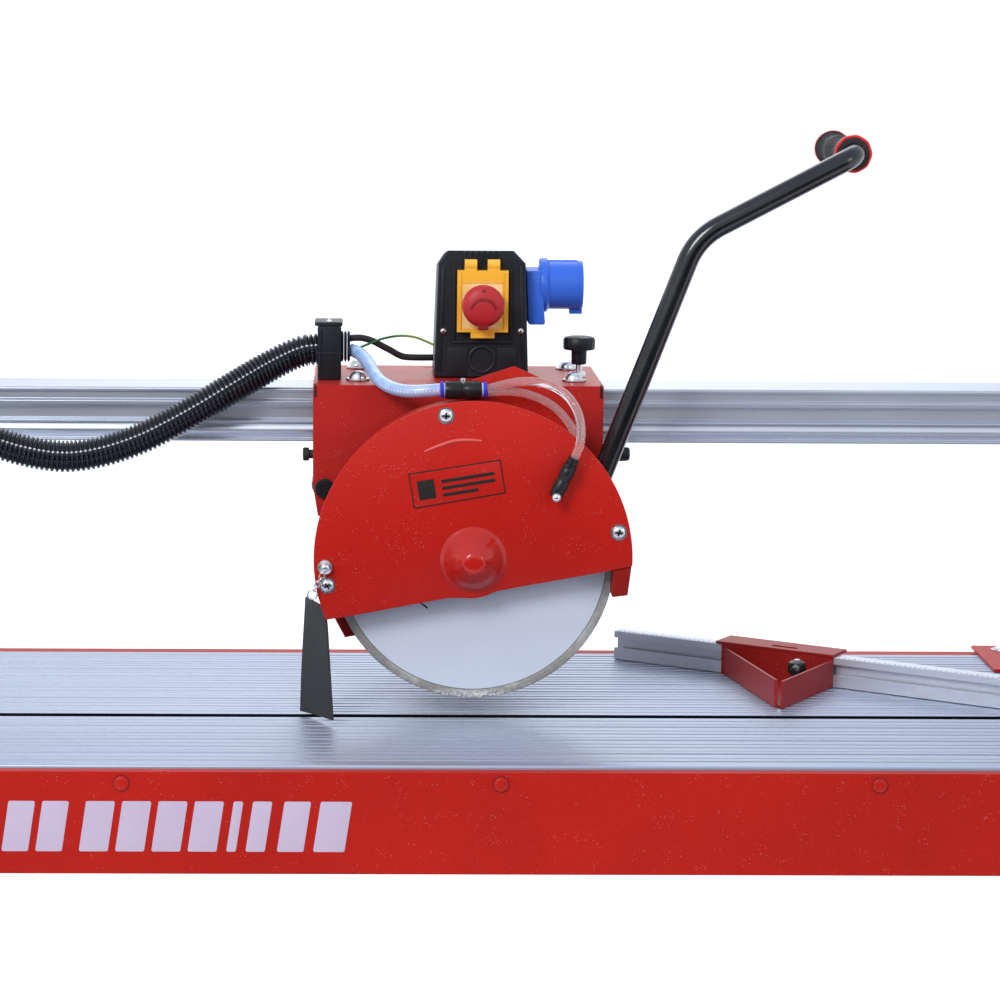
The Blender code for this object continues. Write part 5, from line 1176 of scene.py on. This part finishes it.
def make_guard():
    """Casing, front cover with its boss, screws, name plate and pressed arc.

    The casing is a wall swept round the cover's centre, a back plate ruled between its outline
    and the spindle's hole, and the raised lobe on top.
    """
    x, z = COVER_CENTRE
    near, far, sheet = COVER_FRONT + 0.0023, -0.0315, 0.0020
    radius, hidden = 0.1362, 3.6
    start = np.degrees(np.arctan2(0.9300 - z, 0.2785 - x))
    end = 180 + np.degrees(np.arctan2(z - 0.8860, x - 0.0165))
    sweep = arc(COVER_CENTRE, radius, start, end, 120)
    walls = zip(arc(COVER_CENTRE, radius, start, end - hidden, 118),
                arc(COVER_CENTRE, radius - sheet, start, end - hidden, 118))
    band = grid([[(a, near, b), (c, near, d), (c, far, d), (a, far, b)] for (a, b), (c, d) in walls])
    outline = np.concatenate([sweep, [(0.0290, 0.8665), (0.0903, 0.8779), (0.1517, 0.8893), (0.2131, 0.9006),
                                      (0.2745, 0.9120)]])
    away = outline - (HUB[0], HUB[2])
    hole = (HUB[0], HUB[2]) + 0.0130 * away / np.linalg.norm(away, axis=1)[:, None]
    rims = ((hole, far - sheet), (outline, far - sheet), (outline, far), (hole, far))
    back = grid([np.column_stack([ring[:, 0], np.full(len(ring), deep), ring[:, 1]]) for ring, deep in rims],
                True)
    lobe = rounded_outline([(0.1180, 1.0700), (0.1410, 1.0985), (0.1770, 1.1105), (0.1980, 1.1015),
                            (0.2144, 1.0890), (0.2255, 1.0760), (0.2345, 1.0585), (0.2430, 1.0200)], 0.0020)
    raised = slab(lobe, "XZ", far - sheet, far - 0.0002, 0.0003)
    piece("casing_shell", gather(band, back, raised), "red_paint", "head", ("guard_casing",), 30)
    face = slab(cover_outline(), "XZ", COVER_FRONT, COVER_FRONT + 0.0020, 0.0006)
    tip = COVER_FRONT - 0.0230
    foot = COVER_FRONT
    boss = turned([(0.0, foot + 0.0015), (0.0292, foot + 0.0015), (0.0292, foot - 0.0002),
                   (0.0284, foot - 0.0010), (0.0272, foot - 0.0015), (0.0248, foot - 0.0042),
                   (0.0200, foot - 0.0102), (0.0150, foot - 0.0160), (0.0112, tip + 0.0036),
                   (0.0104, tip + 0.0024), (0.0092, tip + 0.0012), (0.0070, tip + 0.0004), (0.0045, tip),
                   (0.0, tip)], (x, 0.0, z), "Y", 96)
    crease = ((0.0973, 1.0406), (0.1105, 1.0462), (0.1241, 1.0504), (0.1360, 1.0512), (0.1475, 1.0505))
    path = resampled([(px, COVER_FRONT + 0.0002, pz) for px, pz in crease], 0.002)
    press = swept(path, 0.0009 + 0.0006 * np.sin(pi * np.linspace(0.0, 1.0, len(path))), 16)
    piece("cover_plate", face, "red_bright", "head", ("guard_cover",))
    # the crease's paler red finish is a painted highlight
    piece("cover_press", press, "red_press", "head")
    piece("cover_boss", boss, "red_boss", "head")
    screws = ((0.1161, 1.0723), (0.2679, 0.9702), (0.0134, 0.9222))
    heads, slots = zip(*(cross_head(sx, COVER_FRONT, sz, 0.0058, 0.5 + sx * 9.0) for sx, sz in screws))
    rings = [turned([(0.0, COVER_FRONT - 0.0006), (0.0072, COVER_FRONT - 0.0006), (0.0074, COVER_FRONT),
                     (0.0, COVER_FRONT)], (sx, 0.0, sz), "Y", 32) for sx, sz in screws]
    piece("cover_screws", gather(*heads, *rings), "zinc", "head")
    piece("cover_screw_slots", gather(*slots), "dark_line", "head")
    plate = np.array([(0.0835, 1.0212), (0.1638, 1.0343), (0.1689, 1.0045), (0.0889, 0.9904)])
    frame_line = slab(rounded_outline(plate, 0.0012, 3), "XZ", COVER_FRONT - 0.0005, COVER_FRONT, 0.0001)
    field = slab(rounded_outline(inset(plate, 0.0011), 0.0010, 3), "XZ", COVER_FRONT - 0.0007,
                 COVER_FRONT - 0.0003, 0.0001)
    piece("plate_edge", frame_line, "dark_line", "head")
    piece("plate_field", field, "red_bright", "head")
    along, up = np.array((0.9867, 0.1626)), np.array((-0.1626, 0.9867))
    origin, bars = np.array((0.0889, 0.9904)), []
    for a0, a1, u0, u1 in ((0.006, 0.021, 0.0065, 0.0235), (0.027, 0.074, 0.0185, 0.0215),
                           (0.027, 0.074, 0.0125, 0.0155), (0.027, 0.058, 0.0065, 0.0095)):
        corners = [origin + along * a + up * u for a, u in ((a0, u0), (a1, u0), (a1, u1), (a0, u1))]
        bars.append(slab(rounded_outline(corners, 0.0008, 3), "XZ", COVER_FRONT - 0.0009,
                         COVER_FRONT - 0.0005, 0.0001))
    piece("plate_bars", gather(*bars), "dark_line", "head")
    # the tab takes the darker shaded red: painted shade
    corners = [(0.2630, 0.9122), (0.2768, 0.9140), (0.2800, 0.9410), (0.2640, 0.9390)]
    tag = slab(rounded_outline(corners, 0.0010), "XZ", -0.0784, -0.0330, 0.0004)
    piece("casing_tab", tag, "red_tab", "head")


def make_flap_strip():
    """The splash flap: a twisted strip ruled between its rear and front edges, slightly cupped."""
    rear = resampled([(-0.0055, -0.0320, 0.9030), (-0.0062, -0.0325, 0.8900), (-0.0086, -0.0390, 0.8450),
                      (-0.0099, -0.0460, 0.8022)], 0.004)
    front = resampled([(0.0095, -0.0770, 0.9030), (0.0128, -0.0776, 0.8900), (0.0160, -0.0880, 0.8450),
                       (0.0191, -0.1004, 0.8022)], 0.004)
    rows = min(len(rear), len(front))
    share = np.linspace(0.0, 1.0, 13)
    rings = []
    for i in range(rows):
        low, high = rear[i], front[i]
        ahead = (high - low) / np.linalg.norm(high - low)
        across = np.array((-ahead[1], ahead[0], 0.0))
        line = low + share[:, None] * (high - low)
        line += across * (0.0012 * np.sin(pi * share) * i / rows)[:, None]
        rings.append(np.concatenate([line + across * 0.0011, line[::-1] - across * 0.0011]))
    strip = piece("rubber_flap", grid(rings), "flap_rubber", "head", ("splash_flap",), 50)
    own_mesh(strip)


def make_chain():
    """The short chain on the cover's left edge: a domed anchor, oval links and an end ring."""
    x, z, y = 0.0116, 0.9390, COVER_FRONT
    anchor = turned([(0.0, y - 0.0105), (0.0020, y - 0.0104), (0.0034, y - 0.0094), (0.0038, y - 0.0078),
                     (0.0030, y - 0.0062), (0.0026, y - 0.0050), (0.0062, y - 0.0042), (0.0068, y - 0.0028),
                     (0.0068, y - 0.0006), (0.0062, y), (0.0, y)], (x, 0.0, z), "Y", 48)
    start, end = np.array((0.0098, y - 0.0050, 0.9335)), np.array((0.0022, y - 0.0040, 0.9180))
    down = (end - start) / np.linalg.norm(end - start)
    side = np.cross(down, (0.0, 1.0, 0.0))
    links = []
    count, long, wide = 4, 0.0034, 0.0021
    angle = np.linspace(0.0, 2 * pi, 24, endpoint=False)[:, None]
    for i in range(count):
        middle = start + (end - start) * (i + 0.5) / count
        flat, normal = (side, np.array((0.0, 1.0, 0.0))) if i % 2 == 0 else (np.array((0.0, 1.0, 0.0)), side)
        loop = middle + down * long * np.cos(angle) + flat * wide * np.sin(angle)
        links.append(hoop(loop, normal, 0.00055))
    centre = end + down * 0.0036
    loop = centre + down * 0.0042 * np.cos(angle) + side * 0.0042 * np.sin(angle)
    ring = hoop(loop, (0.0, 1.0, 0.0), 0.0007)
    piece("chain", gather(anchor, *links, ring), "zinc", "head")


def make_handle():
    """The bent tube, its flanged rubber grip and the two red rings on the grip's ends."""
    plane, reach = -0.0195, 0.1180
    corners = [(0.2288, plane, 0.9372), (0.3374, plane, 1.2232), (0.4764, plane, 1.2966),
               (0.4764, reach, 1.2966)]
    lower, upper = softened(corners[:3], 0.060, 14), softened(corners[1:], 0.0170, 12)
    piece("handle_tube", swept(lower[:-1] + upper[1:], 0.0095, 40), "handle_paint", "head",
          ("handle",), 60)
    x, _, z = corners[2]
    bore = 0.0098
    ribs = []
    for y in np.linspace(0.1150, 0.0080, 26):
        swell = 0.0135 + 0.0008 * sin(y * 105.0)
        ribs += [(swell, y), (swell, y - 0.0024), (swell - 0.0006, y - 0.0028), (swell - 0.0006, y - 0.0038)]
    rear = [(bore, 0.1240), (0.0150, 0.1240), (0.0160, 0.1230), (0.0162, 0.1212), (0.0156, 0.1192),
            (0.0138, 0.1172)]
    tail = [(0.0136, 0.0040), (0.0148, 0.0036), (0.0148, 0.0002), (0.0136, -0.0002), (bore, -0.0001)]
    piece("grip_sleeve", turned(rear + ribs + tail, (x, 0.0, z), "Y", 56, True), "black_rubber", "head",
          ("grip",))
    front = [(0.0144, 0.0036), (0.0158, 0.0036), (0.0166, 0.0028), (0.0169, 0.0016), (0.0166, 0.0003),
             (0.0158, -0.0006), (0.0146, -0.0006), (0.0140, 0.0002), (0.0140, 0.0030)]
    piece("grip_ring_front", turned(front, (x, 0.0, z), "Y", 96, True, lobes=9, depth=0.012), "red_gloss",
          "head")
    back = [(0.0158, 0.1236), (0.0164, 0.1230), (0.0168, 0.1215), (0.0164, 0.1196), (0.0158, 0.1200)]
    piece("grip_ring_rear", turned(back, (x, 0.0, z), "Y", 72, True), "red_gloss", "head")
    corners = [(0.2232, 0.9334), (0.2448, 0.9334), (0.2448, 0.9658), (0.2232, 0.9658)]
    pad = slab(rounded_outline(corners, 0.003), "XZ", -0.0104, -0.0098, 0.0002)
    piece("handle_weld", pad, "handle_paint", "head")


def make_water():
    """The push-in connector with its blue collets, and the elbow into the cover."""
    y, z = -0.0450, 1.0905
    body = turned([(0.0, 0.1485), (0.0060, 0.1485), (0.0078, 0.1478), (0.0082, 0.1466), (0.0082, 0.1352),
                   (0.0078, 0.1340), (0.0068, 0.1336), (0.0066, 0.1324), (0.0066, 0.1312), (0.0068, 0.1302),
                   (0.0078, 0.1298), (0.0082, 0.1288), (0.0082, 0.1178), (0.0078, 0.1166), (0.0060, 0.1158),
                   (0.0, 0.1158)], (0.0, y, z), "X", 48)
    nub = turned([(0.0, z + 0.0108), (0.0016, z + 0.0106), (0.0024, z + 0.0098), (0.0026, z + 0.0060),
                  (0.0, z + 0.0060)], (0.1318, y, 0.0), "Z", 24)
    piece("connector_body", body, "black_gloss", "head", ("hose_connector",))
    piece("connector_nub", nub, "zinc", "head")
    collets, seals = [], []
    for outer, inner in ((0.1525, 0.1496), (0.1123, 0.1150)):
        low, high = sorted((outer, inner))
        collets.append(turned([(0.0, low), (0.0070, low), (0.0074, low + 0.0004), (0.0074, high - 0.0004),
                               (0.0070, high), (0.0, high)], (0.0, y, z), "X", 40))
    for low, high in ((0.1149, 0.1160), (0.1484, 0.1497)):
        seals.append(turned([(0.0, low), (0.0064, low), (0.0064, high), (0.0, high)], (0.0, y, z), "X", 40))
    piece("connector_collets", gather(*collets), "blue_gloss", "head")
    piece("connector_seals", gather(*seals), "white_plastic", "head")
    top, joint, low = np.array(((0.2272, -0.0913, 1.0375), (0.2229, -0.0902, 1.0278),
                                (0.2110, -0.0880, 1.0020)))
    share = np.array((0.0, 0.06, 0.50, 0.52, 0.60, 0.62, 0.94, 1.0))
    radii = np.array((0.0044, 0.0050, 0.0050, 0.0042, 0.0042, 0.0058, 0.0062, 0.0060))
    neck = swept(top + (joint - top) * share[:, None], radii, 28)
    share = np.array((0.0, 0.04, 0.30, 0.34, 0.42, 0.46, 0.90, 0.97, 1.0))
    radii = np.array((0.0058, 0.0064, 0.0064, 0.0056, 0.0056, 0.0063, 0.0062, 0.0054, 0.0045))
    socket = swept(joint + (low - joint) * share[:, None], radii, 28)
    foot = turned([(0.0, COVER_FRONT - 0.0100), (0.0050, COVER_FRONT - 0.0100), (0.0050, COVER_FRONT),
                   (0.0, COVER_FRONT)], (0.2135, 0.0, 1.0085), "Y", 28)
    piece("elbow_body", gather(neck, socket, foot), "black_gloss", "head", ("water_elbow",))
    ball = turned(dome(0.0042, 0.0046, -0.0938, -1.0, 10), (0.2120, 0.0, 1.0030), "Y", 32)
    piece("elbow_screw", ball, "zinc", "head")


def make_drive():
    """Swing arm with its return spring, the finned motor, spindle, blade and nut."""
    eased("swing_arm", "grey_paint", 0.0008)
    hx, hy, hz = HUB
    turn = np.linspace(0.0, 2 * pi * 7, 170)
    coil = np.stack([PIVOT[0] + 0.0116 * np.cos(turn), 0.0120 + 0.0300 * turn / turn[-1],
                     PIVOT[1] + 0.0116 * np.sin(turn)], -1)
    piece("return_spring", swept(coil, 0.0008, 10, (1.0, 0.0, 0.0)), "steel", "head")
    fins = turned([(0.0, 0.1490), (0.0610, 0.1490), (0.0622, 0.1478), (0.0622, 0.0192), (0.0610, 0.0180),
                   (0.0, 0.0180)], (hx, 0.0, hz), "Y", 288, lobes=36, depth=0.024)
    flange = turned([(0.0, 0.0182), (0.0630, 0.0182), (0.0640, 0.0172), (0.0640, 0.0056), (0.0632, 0.0048),
                     (0.0, 0.0048)], (hx, 0.0, hz), "Y", 96)
    piece("motor_body", gather(fins, flange), "grey_paint", "head", ("motor",))
    fan = turned([(0.0, 0.2080), (0.0440, 0.2080), (0.0520, 0.2068), (0.0590, 0.2036), (0.0628, 0.1985),
                  (0.0635, 0.1940), (0.0635, 0.1500), (0.0628, 0.1488), (0.0, 0.1488)],
                 (hx, 0.0, hz), "Y", 96)
    piece("motor_fan_cover", fan, "black_plastic", "head")
    # near-black bars on the fan cover's end: painted shade standing in for its vent slots
    slots = []
    for ring_radius, count in ((0.0180, 10), (0.0300, 16), (0.0420, 22)):
        for angle in np.arange(count) * 2 * pi / count:
            out, side = np.array((cos(angle), sin(angle))), np.array((-sin(angle), cos(angle)))
            middle = np.array((hx, hz)) + out * ring_radius
            corners = [middle + out * a + side * b for a, b in
                       ((0.0042, 0.0013), (-0.0042, 0.0013), (-0.0042, -0.0013), (0.0042, -0.0013))]
            slots.append(slab(np.array(corners), "XZ", 0.2076, 0.20815, 0.0002))
    piece("motor_slots", gather(*slots), "dark_line", "head")
    shaft = [(0.0, 0.0043), (0.0100, 0.0043), (0.0100, hy + 0.0080), (0.0285, hy + 0.0074),
             (0.0295, hy + 0.0066), (0.0300, hy + 0.0022), (0.0298, hy + 0.0016), (0.0124, hy + 0.0016),
             (0.0124, hy - 0.0011), (0.0080, hy - 0.0011), (0.0080, hy - 0.0294), (0.0074, hy - 0.0300),
             (0.0, hy - 0.0300)]
    piece("spindle_shaft", turned(shaft, (hx, 0.0, hz), "Y", 72), "steel", "blade", ("spindle",))
    bore, edge, rim, core = 0.0127, 0.1185, 0.0012, 0.0009
    disc = [(bore, hy + core), (0.0400, hy + core), (0.0800, hy + core), (edge, hy + core), (edge, hy - core),
            (0.0800, hy - core), (0.0400, hy - core), (bore, hy - core)]
    piece("saw_disc", turned(disc, (hx, 0.0, hz), "Y", 256, True), "saw_core", "blade", ("blade",))
    band = [(edge - 0.0006, hy + rim - 0.0003), (edge, hy + rim), (0.1246, hy + rim),
            (0.1250, hy + rim - 0.0004), (0.1250, hy - rim + 0.0004), (0.1246, hy - rim), (edge, hy - rim),
            (edge - 0.0006, hy - rim + 0.0003)]
    piece("saw_rim", turned(band, (hx, 0.0, hz), "Y", 256, True), "diamond_rim", "blade")
    groove = [(edge - 0.0012, hy + core + 0.00012), (edge - 0.0006, hy + core + 0.00012),
              (edge - 0.0006, hy - core - 0.00012), (edge - 0.0012, hy - core - 0.00012)]
    piece("saw_rim_line", turned(groove, (hx, 0.0, hz), "Y", 256, True), "rim_line", "blade")
    ahead = np.array((0.76, -0.65))
    side = np.array((-ahead[1], ahead[0]))
    middle = np.array((0.0985, 0.9005))
    ends = ((0.0045, 0.0007), (-0.0045, 0.0007), (-0.0045, -0.0007), (0.0045, -0.0007))
    tick = np.array([middle + ahead * a + side * b for a, b in ends])
    piece("saw_mark", slab(tick, "XZ", hy - core - 0.00015, hy - core, 0.00005), "dark_line", "blade")
    flange = turned([(0.0083, hy - 0.0014), (0.0296, hy - 0.0014), (0.0300, hy - 0.0020),
                     (0.0292, hy - 0.0062), (0.0270, hy - 0.0070), (0.0180, hy - 0.0090),
                     (0.0083, hy - 0.0090)], (hx, 0.0, hz), "Y", 72, True)
    nut = turned([(0.0083, hy - 0.0086), (0.0140, hy - 0.0086), (0.0145, hy - 0.0092), (0.0145, hy - 0.0180),
                  (0.0134, hy - 0.0190), (0.0083, hy - 0.0190)], (hx, 0.0, hz), "Y", 6, True)
    piece("arbor_nut", gather(flange, nut), "steel", "blade", ("blade_nut",))


# ---------------------------------------------------------------- fence
def on_fence(shape):
    """From the fence's own frame, X along it, to its place on the table."""
    points, faces = shape
    angle = radians(-32.7)
    across = points[:, 0] * cos(angle) - points[:, 1] * sin(angle) + 0.2889
    deep = points[:, 0] * sin(angle) + points[:, 1] * cos(angle) + 0.1911
    return np.stack([across, deep, points[:, 2]], -1), faces


def make_fence():
    """The grooved angle fence with its scale ticks, its folded bracket and the clamp lever."""
    low, thick, long = 0.8006, 0.0165, 0.4030
    high = low + 0.0280
    section = [(0.0004, low), (0.0, low + 0.0004), (0.0, 0.8121), (0.0028, 0.8121), (0.0028, 0.8101),
               (0.0070, 0.8101), (0.0070, 0.8241), (0.0028, 0.8241), (0.0028, 0.8221), (0.0, 0.8221),
               (0.0, high - 0.0006), (0.0006, high), (0.0034, high), (0.0037, high - 0.0004),
               (0.0043, high - 0.0004), (0.0046, high), (thick - 0.0006, high), (thick, high - 0.0006),
               (thick, low + 0.0004), (thick - 0.0004, low)]
    piece("fence_bar", on_fence(drawn(section, 0.0, long)), "fence_metal", "fence",
          ("angle_fence",), 25)
    ticks = []
    for i in range(1, 80):
        at = i * 0.005
        deep = 0.0030 if i % 2 else 0.0048
        ticks.append(block((at - 0.00022, 0.0004, high - 0.0001), (at + 0.00022, deep, high + 0.00012),
                           0.00004, "XY"))
    piece("fence_scale", on_fence(gather(*ticks)), "dark_line", "fence")
    eased("fence_bracket", "red_bracket", 0.0006)
    x, y, base = 0.2080, -0.0330, 0.8029
    screw = turned([(0.0, base + 0.0262), (0.0050, base + 0.0260), (0.0076, base + 0.0246),
                    (0.0084, base + 0.0220), (0.0084, base + 0.0160), (0.0070, base + 0.0146),
                    (0.0040, base + 0.0140), (0.0040, base + 0.0020), (0.0060, base + 0.0020),
                    (0.0060, base), (0.0, base)], (x, y, 0.0), "Z", 40)
    path = [(x, y, base + 0.0195), (x + 0.0030, y - 0.0080, base + 0.0206),
            (x + 0.0060, y - 0.0160, base + 0.0208), (x + 0.0072, y - 0.0240, base + 0.0200)]
    arm = resampled(path, 0.0015)
    radii = 0.0036 + 0.0010 * np.linspace(0.0, 1.0, len(arm)) ** 2
    radii[-1] = 0.0032
    piece("lever_arm", on_fence(gather(screw, swept(arm, radii, 24))), "black_gloss", "lever",
          ("clamp_lever",))
    disc = turned([(0.0, base + 0.0275), (0.0022, base + 0.0274), (0.0028, base + 0.0268),
                   (0.0028, base + 0.0255), (0.0, base + 0.0255)], (x, y, 0.0), "Z", 28)
    piece("lever_screw", on_fence(disc), "zinc", "lever")


make_table()
make_legs()
make_bridge()
make_carriage()
make_clamp()
make_switch()
make_inlet()
make_guard()
make_flap_strip()
make_chain()
make_handle()
make_water()
make_drive()
make_fence()
